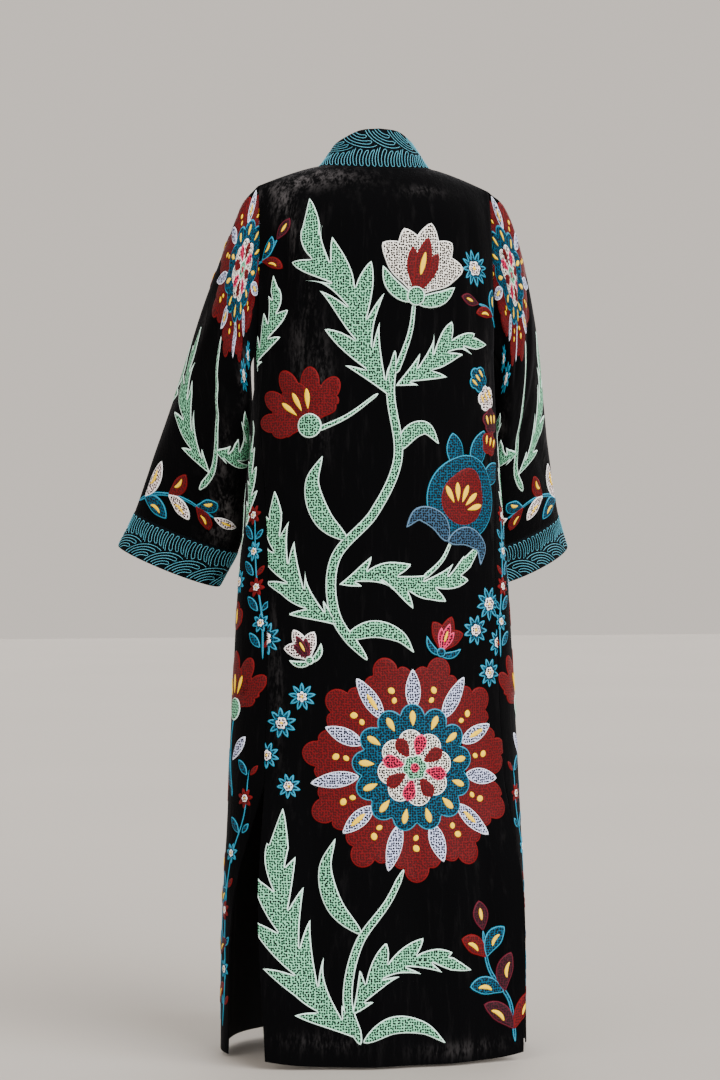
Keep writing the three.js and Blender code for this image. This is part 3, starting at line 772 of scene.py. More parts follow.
pieces = {}
for node, panel in panels.items():
    pieces[node] = panel.shell([trimGround if isTrim(node) else velvet, clothBack])
    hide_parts(node)
    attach(pieces[node], "root")
print("cloth made:", {node: round(panel.area(), 3) for node, panel in panels.items()})

# each thread's filling, and the lighter colour of the row that outlines it, a painted highlight where the
# raised outline row catches light
threads = {
    "mint": ((124, 204, 162), (222, 255, 242)),
    "teal": ((0, 74, 102), (36, 138, 170)),
    "crimson": ((98, 0, 6), (116, 8, 10)),
    "plum": ((60, 6, 24), (96, 20, 38)),
    "yellow": ((255, 208, 8), (255, 214, 20)),
    "pale": ((255, 236, 234), (255, 255, 255)),
    "ice": ((198, 206, 244), (230, 236, 255)),
    "pink": ((204, 22, 76), (226, 70, 114)),
    "slate": ((44, 78, 106), (92, 124, 152)),
    "white": ((246, 240, 230), (255, 255, 250)),
}
stitchSet = {
    "edgeRow": 1.7, "spacing": 8.5, "along": 3.4, "fineAlong": 2.0, "layer": 0.42, "start": -0.2,
    "thick": 0.95, "satinThick": 1.15, "rim": 1.7, "sunk": 0.3, "lowerColumns": 4,
}
# a lobed leaf's half width, by shares of its width and length
leafSet = {
    "spacing": 2.2, "body": 0.66, "bodyEnd": 0.86, "belly": 0.38, "bodyBlunt": 0.62, "point": 0.21,
    "pointFrom": 0.58, "pointGrowth": 0.2, "pointFall": 0.22, "pointBlunt": 0.85, "crowding": 0.9,
    "lobeTop": 0.8, "lobeFall": 0.2, "lobeBlunt": 0.72, "depth": 0.78, "sweep": 57, "hook": 0.3,
}
# a petal with rounded fingers: where its middle is, its half sizes, how far it narrows and is cut
fingerSet = {
    "middle": 0.45, "halfLength": 0.55, "halfWidth": 0.5, "narrow": 0.62, "cut": 0.26, "cutBlunt": 0.55,
}


def smoothLine(points, spacing):
    # a smooth line through the points: x and y as cubics of the length along them, sampled evenly
    points = np.array(points, float)
    along = lengths(points)
    table = {"u": along, "x": points[:, 0], "y": points[:, 1]}
    u = np.linspace(0, along[-1], max(8, int(along[-1] / spacing)) + 1)
    return np.stack([column(table, "u", u, "x"), column(table, "u", u, "y")], -1)


def inward(width, most):
    # places from an edge to the middle of a shape: one close row for the rounded edge, then even ones
    edge = stitchSet["edgeRow"]
    count = max(1, int(np.ceil((most - edge) / stitchSet["spacing"])))
    inside = width - np.minimum(edge, 0.45 * width)
    return np.stack([width] + [inside * (1 - j / count) for j in range(count + 1)], -1)


def towards(angle):
    # the flat way at an angle in degrees: (cos, sin)
    a = np.radians(angle)
    return np.array([np.cos(a), np.sin(a)])


def swell(u, belly, blunt):
    # nothing at both ends and widest at belly: sin(pi u^(log 0.5 / log belly)) to the power blunt
    return np.sin(pi * u ** (np.log(0.5) / np.log(belly))).clip(0) ** blunt


class Needlework:
    # flat stitched shapes: each is a grid of flat places whose first column is its edge, and on a strip
    # the last column too
    def __init__(self, mirrored=False):
        self.shapes, self.mirrored = [], mirrored

    def strip(self, spine, left, right, colour, layer=0, sweep=0, satin=False, hook=0):
        # widths to each side of a spine, set off at right angles or swept towards the tip; with hook the
        # sweep is stronger near the spine than at the edge, so lobes curve outwards
        along = unit(np.gradient(spine, axis=0))
        side = np.stack([-along[:, 1], along[:, 0]], -1)
        lean, square = np.sin(np.radians(sweep)), np.cos(np.radians(sweep))
        most = max(left.max(), right.max())

        def offset(way, width):
            # spine + width x (sideways x cos(sweep) + forwards x sin(sweep))
            forward = width * lean * (1 + hook * (0.45 - width / most))
            sideways = way * side[:, None] * square * width[..., None]
            return spine[:, None] + sideways + along[:, None] * forward[..., None]

        halves = [offset(1, inward(left, most)), offset(-1, inward(right, most)[:, -2::-1])]
        grid = np.concatenate(halves, 1)
        outline = np.concatenate([grid[:, 0], grid[::-1, -1]])
        self.shapes.append((grid, outline, colour, layer, satin, False))

    def disc(self, centre, reach, colour, layer=0, satin=False, count=None):
        # a shape about a centre, where reach gives its radius at each angle
        most = reach(np.linspace(0, 2 * pi, 60)).max()
        count = count or max(18, int(2 * pi * most / stitchSet["along"]))
        angle = np.arange(count) * 2 * pi / count
        radius = inward(reach(angle), most)
        way = np.stack([np.cos(angle), np.sin(angle)], -1)
        grid = np.array(centre, float) + way[:, None] * radius[..., None]
        self.shapes.append((grid, grid[:, 0], colour, layer, satin, True))

    def dot(self, centre, radius, colour, layer, satin=False):
        # a plain round: the same radius at every angle
        self.disc(centre, lambda a: radius + 0 * a, colour, layer, satin)

    def stem(self, points, width, colour="mint", layer=0, thin=0.6):
        # half width from full to thin along it, with ends rounded by a square root
        spine = smoothLine(points, stitchSet["along"])
        u = np.linspace(0, 1, len(spine))
        w = width / 2 * mix(1, thin, u) * np.sqrt(np.minimum(1, np.minimum(u, 1 - u) * 14))
        self.strip(spine, w, w, colour, layer)

    def blade(self, points, width, colour="mint", layer=0, belly=0.5, blunt=0.8, satin=False):
        # a plain leaf or petal along a line: width / 2 x swell
        spine = smoothLine(points, stitchSet["fineAlong" if width < 16 else "along"])
        u = np.linspace(0, 1, len(spine))
        w = width / 2 * swell(u, belly, blunt)
        w[[0, -1]] = 0
        self.strip(spine, w, w, colour, layer, satin=satin)

    def leaf(self, points, width, teeth, colour="mint", layer=0):
        # a leaf cut into pointed lobes: its half width swells and falls, each lobe rises as a power and
        # drops straight, leaning to the tip, the two sides take turns and a plain point ends it
        spine = smoothLine(points, leafSet["spacing"])
        u = np.linspace(0, 1, len(spine))
        full = (u / leafSet["bodyEnd"]).clip(0, 1)
        body = width * leafSet["body"] * swell(full, leafSet["belly"], leafSet["bodyBlunt"])
        rising = ((u - leafSet["pointFrom"]) / leafSet["pointGrowth"]).clip(0)
        falling = (1 - u) / leafSet["pointFall"]
        point = width * leafSet["point"] * np.minimum(rising, falling) ** leafSet["pointBlunt"]

        def lobed(phase):
            # body x (1 - depth x (1 - rise x fall)), never under the plain point
            f = (u ** leafSet["crowding"] * teeth + phase) % 1
            rise = np.minimum(1, f / leafSet["lobeTop"]) ** leafSet["lobeBlunt"]
            fall = 1 - ((f - leafSet["lobeTop"]) / leafSet["lobeFall"]).clip(0, 1)
            return np.maximum(body * (1 - leafSet["depth"] * (1 - rise * fall)), point)

        left, right = lobed(0.0), lobed(0.5)
        left[[0, -1]] = right[[0, -1]] = 0
        self.strip(spine, left, right, colour, layer, leafSet["sweep"], hook=leafSet["hook"])

    def radial(self, centre, angle, near, far, width, colour, layer, belly=0.6, blunt=0.7, satin=False,
               bend=0):
        # a blade that points away from a centre, bowed sideways by bend x sin(pi k)
        way = towards(angle)
        side = np.array([-way[1], way[0]])
        points = [np.array(centre) + way * mix(near, far, k) + side * bend * np.sin(pi * k)
                  for k in (0, 0.33, 0.67, 1)]
        self.blade(points, width, colour, layer, belly, blunt, satin)

    def seed(self, centre, angle, length, width, layer=2):
        # a yellow satin grain about its own middle
        self.radial(centre, angle, -length / 2, length / 2, width, "yellow", layer, 0.5, 0.55, True)

    def heart(self, centre, angle, near, far, width, layer, bend=0, belly=0.6):
        # a yellow satin blade inside a petal
        self.radial(centre, angle, near, far, width, "yellow", layer, belly, 0.6, True, bend)

    def scallop(self, centre, radius, lobes, depth, colour, layer, turn=0):
        # a round with lobes: radius x (1 - depth x (1 - |cos|^0.6))
        def lobed(a):
            return radius * (1 - depth * (1 - np.abs(np.cos((a - np.radians(turn)) * lobes / 2)) ** 0.6))

        self.disc(centre, lobed, colour, layer)

    def star(self, centre, radius, points=9, colour="teal", eye="pale", turn=0, layer=0):
        # a small flower: radius x (0.44 + 0.56 x peak^0.7), where peak is a triangle wave
        def pointed(a):
            peak = np.abs(2 * (((a - np.radians(turn)) * points / (2 * pi)) % 1) - 1)
            return radius * (0.44 + 0.56 * peak ** 0.7)

        self.disc(centre, pointed, colour, layer, count=points * 8)
        self.scallop(centre, radius * 0.42, 6, 0.3, eye, layer + 1, turn)
        self.dot(centre, radius * 0.12, "yellow", layer + 2, True)

    def fingered(self, centre, angle, length, width, fingers, colour, layer):
        # a petal cut into rounded fingers at its outer end, about a centre partway up it
        middle = np.array(centre) + towards(angle) * length * fingerSet["middle"]
        halfLength, halfWidth = fingerSet["halfLength"] * length, fingerSet["halfWidth"] * width

        def reach(a):
            # an oval, narrower towards the centre, cut by cosines at its outer end
            b = a - np.radians(angle)
            oval = 1 / np.sqrt((np.cos(b) / halfLength) ** 2 + (np.sin(b) / halfWidth) ** 2)
            fore = smooth((np.cos(b) + 0.45) / 0.6)
            narrow = mix(fingerSet["narrow"], 1, smooth((np.cos(b) + 1) / 1.1))
            between = 1 - np.abs(np.cos(b * fingers / 1.5)) ** fingerSet["cutBlunt"]
            return oval * narrow * (1 - fingerSet["cut"] * between * fore)

        self.disc(middle, reach, colour, layer)

    def branch(self, points, size, colours=("plum", "crimson", "teal"), layer=0, pairs=3):
        # almonds with yellow hearts, in pairs along a thin line, and one at its end
        line = smoothLine(points, 2)
        self.stem(points, max(4, size * 0.1), "teal", layer, 1)
        along = unit(np.gradient(line, axis=0))
        starts = [int((k + 0.35) / pairs * (len(line) - 1)) for k in range(pairs)]
        places = [(at, turn) for at in starts for turn in (44, -44)] + [(len(line) - 2, 0)]
        for number, (at, turn) in enumerate(places):
            angle = np.degrees(np.arctan2(along[at, 1], along[at, 0])) + turn
            long = size * (1 - 0.1 * (number // 2))
            bend = -np.sign(turn) * long * 0.1
            colour, level = colours[number % len(colours)], layer + 1 + number % 2
            self.radial(line[at], angle, 0, long, size * 0.42, colour, level, 0.55, 0.72, bend=bend)
            self.heart(line[at], angle, long * 0.34, long * 0.76, size * 0.11, layer + 3, bend * 0.6, 0.5)

    def medallion(self, centre, radius, turn=0, petals=11):
        # a full sun: fingered crimson petals, pale slivers between them, a teal scallop ring, pink hearts
        step = 360 / petals
        for k in range(petals):
            a = turn + k * step
            way = towards(a)
            start = np.array(centre) + way * radius * 0.36
            self.fingered(start, a, radius * 0.64, radius * 0.5, 5, "crimson", 0)
            self.seed(start + way * radius * 0.34, a + 40, radius * 0.07, radius * 0.06, 2)
            self.seed(start + way * radius * 0.25, a - 30, radius * 0.06, radius * 0.05, 2)
            between, far = a + step / 2, radius * (0.93 if k % 2 else 0.86)
            self.radial(centre, between, radius * 0.5, far, radius * 0.15, "ice", 1, 0.45)
            if k % 3 == 0:
                spot = np.array(centre) + radius * 0.68 * towards(between)
                self.seed(spot, between, radius * 0.17, radius * 0.045, 3)
        self.scallop(centre, radius * 0.56, petals + 2, 0.17, "teal", 2, turn)
        for k in range(petals + 2):
            a = turn + k * 360 / (petals + 2)
            self.heart(centre, a, radius * 0.36, radius * 0.5, radius * 0.06, 4)
        self.scallop(centre, radius * 0.34, 8, 0.2, "white", 3, turn)
        for k in range(8):
            a, colour = turn + 22.5 + k * 45, "pink" if k % 2 else "crimson"
            self.radial(centre, a, radius * 0.07, radius * 0.3, radius * 0.13, colour, 4, 0.68, 0.6)
        self.scallop(centre, radius * 0.12, 6, 0.22, "mint", 5, turn)
        self.dot(centre, radius * 0.045, "pink", 6)

    def tulip(self, centre, angle, size, outer="white", inner="crimson", cup="mint", petals=5, spread=92):
        # petals fan about the angle, the outermost first, then inner petals, a heart, two leaves and a foot
        middle = (petals - 1) / 2
        for k in np.argsort(-np.abs(np.arange(petals) - middle)):
            off = (k - middle) / middle
            at, long, bend = angle + off * spread / 2, size * (1 - 0.16 * abs(off)), -off * size * 0.1
            self.radial(centre, at, 0, long, size * 0.42, outer, 1, 0.56, 0.7, bend=bend)
        for off in (-0.5, 0.5):
            self.radial(centre, angle + off * 34, 0, size * 0.66, size * 0.2, inner, 3, 0.6, 0.75)
        self.radial(centre, angle, 0, size * 0.8, size * 0.24, inner, 4, 0.55, 0.7)
        self.heart(centre, angle, size * 0.28, size * 0.6, size * 0.08, 6, belly=0.5)
        for off in (-1, 1):
            at, bend = angle + off * 62, off * size * 0.12
            self.radial(centre, at, -size * 0.1, size * 0.6, size * 0.2, cup, 4, 0.5, 0.8, bend=bend)
        self.dot(centre, size * 0.13, cup, 6)

    def pomegranate(self, centre, angle, size, skin="teal", flesh="crimson"):
        # a round fruit with a crown, a heart set with seeds, and curled leaves at its foot. Skin and flesh
        # are drops: radius x (1 + point x cos^6 towards the crown)
        way = towards(angle)
        for off in (-34, 0, 34):
            far = size * (0.86 - 0.1 * abs(off) / 34)
            self.radial(centre, angle + off, size * 0.3, far, size * 0.24, skin, 0, 0.55, 0.75)
        for radius, point, colour, level in ((size * 0.47, 0.1, skin, 1), (size * 0.29, 0.3, flesh, 2)):
            def drop(t):
                return radius * (1 + point * np.maximum(0, np.cos(t - np.radians(angle))) ** 6)

            self.disc(centre, drop, colour, level)
        middle = np.array(centre) - way * size * 0.16
        for off in (-52, -26, 0, 26, 52):
            self.heart(middle, angle + off, size * 0.12, size * 0.34, size * 0.07, 4)
        foot = np.array(centre) - way * size * 0.42
        for off in (-1, 1):
            side = np.array([-way[1], way[0]]) * off
            curl = [foot + side * size * out + way * size * up
                    for out, up in ((0, -0.1), (0.2, 0.06), (0.44, 0.04), (0.52, -0.16))]
            self.blade(curl, size * 0.22, "slate", 3, 0.4, 0.8)

    def carnation(self, centre, angle, size, colour="crimson", cup="mint"):
        # a fan of five fingered petals over a round cup
        for off in (-58, 58, -29, 29, 0):
            long = size * (1 - 0.05 * abs(off) / 29)
            self.fingered(centre, angle + off, long, size * 0.5, 4, colour, 0 if off else 1)
        for off in (-24, 0, 24):
            self.heart(centre, angle + off, size * 0.26, size * 0.6, size * 0.09, 3)
        self.dot(centre, size * 0.2, cup, 2)

    def buds(self, points, colours, size):
        # drop-shaped buds strung along a line, each opening over the next
        line = smoothLine(points, 2)
        along = unit(np.gradient(line, axis=0))
        for k, colour in enumerate(colours):
            at = int((k + 0.5) / len(colours) * (len(line) - 1))
            way, here = along[at], line[at]
            side = np.array([-way[1], way[0]])
            angle = np.degrees(np.arctan2(way[1], way[0]))
            self.scallop(here, size * 0.5, 5, 0.24, colour, 1 + k % 2, angle)
            for off in (-0.22, 0, 0.22):
                low = here + side * size * off - way * size * 0.12
                high = here + side * size * off * 1.2 + way * size * 0.24
                self.blade([low, high], size * 0.12, "yellow", 4, 0.6, 0.6, True)


def backNeedlework():
    # the back's design in flat places: s from the centre line, t up from the hem
    w = Needlework()
    # the lower stem, its leaves and its sun
    w.stem([(-66, 36), (-86, 110), (-66, 200), (-14, 270), (14, 320)], 19)
    w.leaf([(-70, 46), (-124, 96), (-176, 190), (-196, 300), (-186, 420)], 150, 6)
    w.leaf([(-80, 84), (-30, 150), (44, 172), (126, 150)], 96, 5)
    w.blade([(-62, 40), (-14, 66), (40, 60), (78, 34)], 30, belly=0.4)
    w.blade([(-60, 214), (-104, 262), (-118, 322), (-100, 372)], 30, belly=0.42)
    w.medallion((36, 486), 190, turn=8)
    w.branch([(206, 20), (196, 90), (160, 150), (150, 214)], 74)
    for place, size in (((190, 756), 30), ((158, 712), 27), ((212, 690), 25), ((188, 640), 26),
                        ((-186, 560), 27), ((-214, 506), 24), ((-176, 456), 22), ((-150, 604), 24)):
        w.star(place, size, turn=place[0])
    # the upper stem, swinging from left to right
    upper = [(-40, 664), (-92, 738), (-92, 832), (-26, 910), (14, 1000), (2, 1110), (10, 1180)]
    w.stem(upper, 19, thin=0.8)
    w.leaf([(-88, 722), (-138, 760), (-186, 840), (-196, 946)], 112, 5)
    w.leaf([(-86, 790), (-30, 806), (40, 788), (108, 800), (176, 860)], 94, 6)
    w.blade([(-70, 862), (-112, 900), (-130, 956), (-112, 1004)], 34, belly=0.42)
    w.blade([(12, 1010), (38, 1044), (64, 1050), (88, 1024)], 28, belly=0.42)
    w.blade([(-80, 700), (-30, 716), (14, 704), (40, 676)], 30, belly=0.42)
    w.pomegranate((134, 932), 66, 150)
    w.stem([(58, 800), (92, 830), (112, 866)], 10)
    w.carnation((-134, 1054), 118, 104)
    w.stem([(-18, 1108), (-70, 1070), (-122, 1046)][::-1], 10)
    w.leaf([(4, 1100), (-36, 1170), (-62, 1262), (-120, 1340), (-130, 1438)], 150, 7)
    w.leaf([(10, 1120), (62, 1150), (112, 1190), (196, 1196)], 96, 5)
    w.stem([(10, 1140), (36, 1210), (44, 1262)], 12)
    w.tulip((46, 1270), 76, 126)
    w.buds([(196, 1010), (206, 1062), (190, 1114), (158, 1150)], ("crimson", "plum", "pale", "teal"), 46)
    # what runs off into the side seams
    w.leaf([(-258, 1146), (-224, 1192), (-198, 1250), (-200, 1316)], 74, 4)
    w.tulip((88, 676), 70, 64, "crimson", "pink", "teal", 3, 70)
    w.tulip((-136, 664), 118, 58, "pale", "plum", "mint", 3, 76)
    w.star((168, 1330), 34, 12, "teal", "pale", 12)
    w.star((-214, 700), 30, 10, "teal", "pale", 30)
    w.branch([(240, 1230), (206, 1262), (176, 1268)], 52, ("crimson", "teal", "plum"), pairs=1)
    w.branch([(-250, 1340), (-214, 1352), (-192, 1380)], 48, ("teal", "crimson", "plum"), pairs=1)
    return w


chainSet = {
    "row": 4.2, "cell": 4.3, "hole": 0.39, "soft": 0.05, "dense": {"crimson": 0.38, "plum": 0.25},
    "gap": (2, 3, 4), "outline": (1.7, 2.7), "tones": (0.62, 0.76), "strand": 0.9,
}


def weld(points, faces, fields):
    # joins points that fall together, to a thousandth of a millimetre. Quads that lose a corner become
    # triangles, and thinner ones go
    first, back = np.unique(np.round(points, 3), axis=0, return_index=True, return_inverse=True)[1:]
    quads = back.ravel()[faces]
    same = quads == np.roll(quads, -1, axis=1)
    whole = quads[same.sum(1) == 0]
    whole = whole[(whole[:, 0] != whole[:, 2]) & (whole[:, 1] != whole[:, 3])]
    one = same.sum(1) == 1
    triangles = quads[one][~same[one]].reshape(-1, 3)
    triangles = triangles[(triangles != np.roll(triangles, 1, axis=1)).all(1)]
    return points[first], whole, triangles, [field[first] for field in fields]


def edgeDistance(places, outline):
    # how far each flat place is from the nearest stretch of the outline
    a, b = outline, np.roll(outline, -1, axis=0)
    line = b - a
    keep = np.linalg.norm(line, axis=1) > 1e-6
    a, line = a[keep], line[keep]
    apart = places[:, None] - a
    share = np.clip((apart * line).sum(-1) / (line * line).sum(-1), 0, 1)
    return np.linalg.norm(apart - share[..., None] * line, axis=-1).min(1)


def raised(panel, work, name, materials):
    # every flat shape becomes a thin closed patch: a domed face on the cloth and a coarser one sunk in it.
    # The dome is low + rise x sqrt(1 - (1 - away / rim)^2), with away the distance from the outline
    allPoints, allQuads, allTriangles, fields, base = [], [], [], [[], [], [], [], []], 0
    flip = -1 if work.mirrored else 1
    for number, (grid, outline, colour, layer, satin, closed) in enumerate(work.shapes):
        rows, columns = grid.shape[:2]
        away = edgeDistance(grid.reshape(-1, 2), outline).reshape(rows, columns)
        low = stitchSet["layer"] * layer + stitchSet["start"]
        rise = stitchSet["thick"] * (stitchSet["satinThick"] if satin else 1)
        rim = max(away.max() * 0.9, 1.2) if satin else stitchSet["rim"]
        top = low + rise * np.sqrt(1 - (1 - np.minimum(1, away / rim)) ** 2)
        # the sunk face needs only the edges, the middle of a strip, and every few columns between
        under = {0, columns - 1, *range(3, columns, stitchSet["lowerColumns"])}
        under = sorted(under if closed else under | {columns // 2})
        sunk = np.minimum(1, away[:, under] / 2) * stitchSet["sunk"]
        spots = np.concatenate([grid.reshape(-1, 2), grid[:, under].reshape(-1, 2)])
        lift = np.concatenate([top.ravel(), (low - sunk).ravel()])
        index = np.arange(rows * columns).reshape(rows, columns)
        below = rows * columns + np.arange(rows * len(under)).reshape(rows, -1)
        if closed:
            index, below = np.concatenate([index, index[:1]]), np.concatenate([below, below[:1]])
        upward, downward = gridFaces(index), gridFaces(below)[:, ::-1]
        # which way round the grid turns on the flat
        a, b = grid[:-1, 1:] - grid[:-1, :-1], grid[1:, :-1] - grid[:-1, :-1]
        turned = (a[..., 0] * b[..., 1] - a[..., 1] * b[..., 0]).sum() < 0
        faces = np.concatenate([upward, downward])
        if turned != (flip < 0):
            faces = faces[:, ::-1]
        points = panel.place(spots * [flip, 1], lift)
        # the filling's colour and the outline row's lighter colour, which is painted highlight
        filling, outlineHighlight = (np.tile(linear(*tone), (len(spots), 1)) for tone in threads[colour])
        extra = [np.column_stack([spots, np.full(len(spots), number * 7.3)]),
                 np.concatenate([away.ravel(), away[:, under].ravel()]), filling, outlineHighlight,
                 np.full(len(spots), 1.0 if satin else chainSet["dense"].get(colour, 0))]
        points, quads, triangles, extra = weld(points, faces, extra)
        allPoints.append(points)
        allQuads.append(quads + base)
        allTriangles.append(triangles + base)
        for field, values in zip(fields, extra):
            field.append(values)
        base += len(points)
    kinds = {"flat": "FLOAT_VECTOR", "edge": "FLOAT", "thread": "FLOAT_COLOR", "outline": "FLOAT_COLOR",
             "satin": "FLOAT"}
    attributes = [(title, kind, np.concatenate(field))
                  for (title, kind), field in zip(kinds.items(), fields)]
    faces = np.concatenate(allQuads).tolist() + np.concatenate(allTriangles).tolist()
    return meshPiece(name, np.concatenate(allPoints), faces, materials, None, attributes)


def threadFinish():
    # chain stitch in rows that follow each edge, the ground showing between loops, one row round the edge
    # made lighter with painted highlight, and satin stitch where the shape is small
    f = Finish("thread")
    flat, edge = f.attribute("flat", 1), f.attribute("edge")
    tone, satin = f.attribute("thread", 0), f.attribute("satin")
    wave = f.node("Math", {"operation": "COSINE"}, {0: edge * (2 * pi / chainSet["row"])})
    cells = f.node("TexVoronoi", {"voronoi_dimensions": "2D", "feature": "F1"},
                   {"Vector": flat, "Scale": 1 / chainSet["cell"], "Randomness": 0.5})
    hole, soft, (darkest, spread) = chainSet["hole"], chainSet["soft"], chainSet["tones"]
    spots = f.between(cells + wave * -soft, hole + soft, hole - soft)
    within = f.between(edge, *chainSet["outline"])
    chain = spots * within * (1 - satin)
    rim = (1 - within) * (1 - satin)
    strands = f.noise(flat, chainSet["strand"], 3, 0.7)
    # the outline row takes the lighter colour: painted highlight on the raised rim
    stitched = f.blend(rim, tone, f.attribute("outline", 0))
    shade = f.node("HueSaturation", {}, {"Value": darkest + strands * spread, "Color": stitched})
    colour = f.blend(chain, shade, linear(*chainSet["gap"]))
    fibres = f.noise(f.scaled(flat, (1.0, 6.0, 1.0)), 0.8)
    height = (1 - chain) * 0.7 + wave * 0.12 * (1 - satin) + fibres * 0.25
    return f.surface({
        "Base Color": colour, "Roughness": 0.62 - satin * 0.22, "Specular IOR Level": 0.14,
        "Normal": f.bump(height, 0.0009, 0.9),
    })


def sleeveNeedlework(mirrored=False):
    # the sleeve's design: s from its back line, right round, and t up from the cuff's seam
    w = Needlework(mirrored)
    # the side that faces back
    w.medallion((-40, 446), 118, turn=12, petals=9)
    w.stem([(26, 96), (44, 160), (30, 240), (-8, 306), (-26, 344)], 13)
    w.leaf([(40, 140), (-16, 160), (-72, 204), (-100, 290)], 96, 5)
    w.leaf([(38, 190), (76, 214), (112, 262), (106, 340)], 80, 5)
    w.branch([(-96, 16), (-50, 44), (10, 64), (66, 60)], 62, ("pale", "teal", "crimson"))
    w.star((92, 396), 24, turn=9)
    w.star((104, 446), 20, turn=30)
    w.blade([(-34, 580), (-20, 604), (10, 622)], 26)
    w.leaf([(-150, 60), (-140, 130), (-116, 190), (-128, 250)], 60, 4)
    w.buds([(-150, 330), (-164, 370), (-160, 410)], ("crimson", "pale", "plum"), 36)
    # the side that faces forward
    w.stem([(250, 40), (240, 140), (262, 240), (256, 300)], 12)
    w.leaf([(246, 70), (198, 120), (172, 196), (182, 278)], 90, 5)
    w.leaf([(244, 124), (292, 164), (326, 226), (320, 300)], 84, 5)
    w.pomegranate((256, 350), 90, 122, "teal", "crimson")
    w.carnation((262, 500), 80, 84)
    w.stem([(262, 484), (270, 472), (264, 460)], 9)
    w.star((196, 420), 22)
    w.star((322, 424), 22, turn=20)
    w.branch([(300, 24), (330, 60), (336, 110)], 46, ("teal", "plum", "crimson"), pairs=2)
    return w


def frontNeedlework(mirrored=False):
    # the fronts' design: s from the band's seam, t up from the hem
    w = Needlework(mirrored)
    w.stem([(92, 40), (80, 120), (98, 220), (136, 300)], 16)
    w.leaf([(88, 50), (150, 90), (208, 168), (222, 280)], 128, 6)
    w.leaf([(84, 106), (46, 160), (26, 236), (38, 330)], 84, 5)
    w.medallion((136, 424), 130, turn=4, petals=9)
    w.stem([(150, 548), (186, 624), (176, 720), (120, 800), (106, 900), (126, 1010)], 16, thin=0.8)
    w.leaf([(178, 634), (126, 660), (66, 722), (38, 820)], 104, 6)
    w.leaf([(152, 760), (196, 790), (214, 866), (196, 960)], 80, 5)
    w.pomegranate((58, 912), 112, 118)
    w.stem([(112, 842), (88, 852), (72, 870)], 9)
    w.leaf([(110, 920), (152, 980), (168, 1066), (136, 1160)], 96, 6)
    w.tulip((74, 1078), 100, 88)
    w.stem([(120, 970), (98, 1020), (78, 1066)], 10)
    w.buds([(46, 1206), (60, 1256), (82, 1300), (80, 1350)], ("crimson", "pale", "teal", "plum"), 42)
    # a vine of small flowers beside the slit
    for vine in ([(300, 40), (306, 130), (298, 220), (306, 310), (334, 392), (338, 470)],
                 [(334, 650), (322, 720), (296, 800), (276, 890)]):
        w.stem(vine, 4.5, "teal")
        for k, (s, t) in enumerate(smoothLine(vine, 46)[1:]):
            if k % 2:
                w.star((s - 3, t), 18, 7, "crimson" if k % 4 == 3 else "teal", "pale", turn=t, layer=1)
            else:
                w.radial((s - 2, t - 12), 138, 2, 38, 15, "teal", 0, 0.5)
                w.radial((s + 2, t - 12), 52, 2, 24, 11, "teal" if k % 4 else "crimson", 0, 0.5)
    # bigger motifs that turn the side, between the vine and the sun
    w.branch([(270, 44), (268, 120), (276, 200), (270, 290)], 54, ("plum", "crimson", "teal"))
    w.carnation((278, 566), 98, 98)
    w.stem([(296, 420), (276, 470), (270, 520), (278, 556)], 8, "teal")
    w.blade([(292, 434), (262, 462), (252, 500)], 24, "teal", belly=0.5)
    w.radial((286, 480), 52, 0, 54, 22, "ice", 0, 0.55)
    w.fingered((254, 690), 92, 56, 52, 4, "crimson", 0)
    w.radial((254, 706), 90, 0, 28, 10, "yellow", 1, 0.5, 0.55, True)
    w.branch([(16, 24), (40, 50), (84, 60)], 44, ("teal", "crimson", "plum"), pairs=2)
    w.leaf([(252, 868), (256, 924), (244, 980), (230, 1050)], 52, 5)
    w.star((250, 778), 22, turn=18)
    w.star((40, 620), 24, turn=12)
    w.star((66, 584), 20, turn=30)
    return w


cordSet = {
    "radius": 0.54, "sides": 4, "along": 3.0, "pitch": 6.0, "period": 43, "height": 72, "fan": 39,
    "fanAt": 36.0, "fanUnder": 3, "clear": 4.2, "legCurve": 13, "edge": 1.6, "shear": 0.3, "endGap": 1.5,
    "legShare": 0.9, "legTop": 2.1, "legFoot": 5.7, "turnOut": 0.8, "sit": 0.75, "shortest": 4,
}


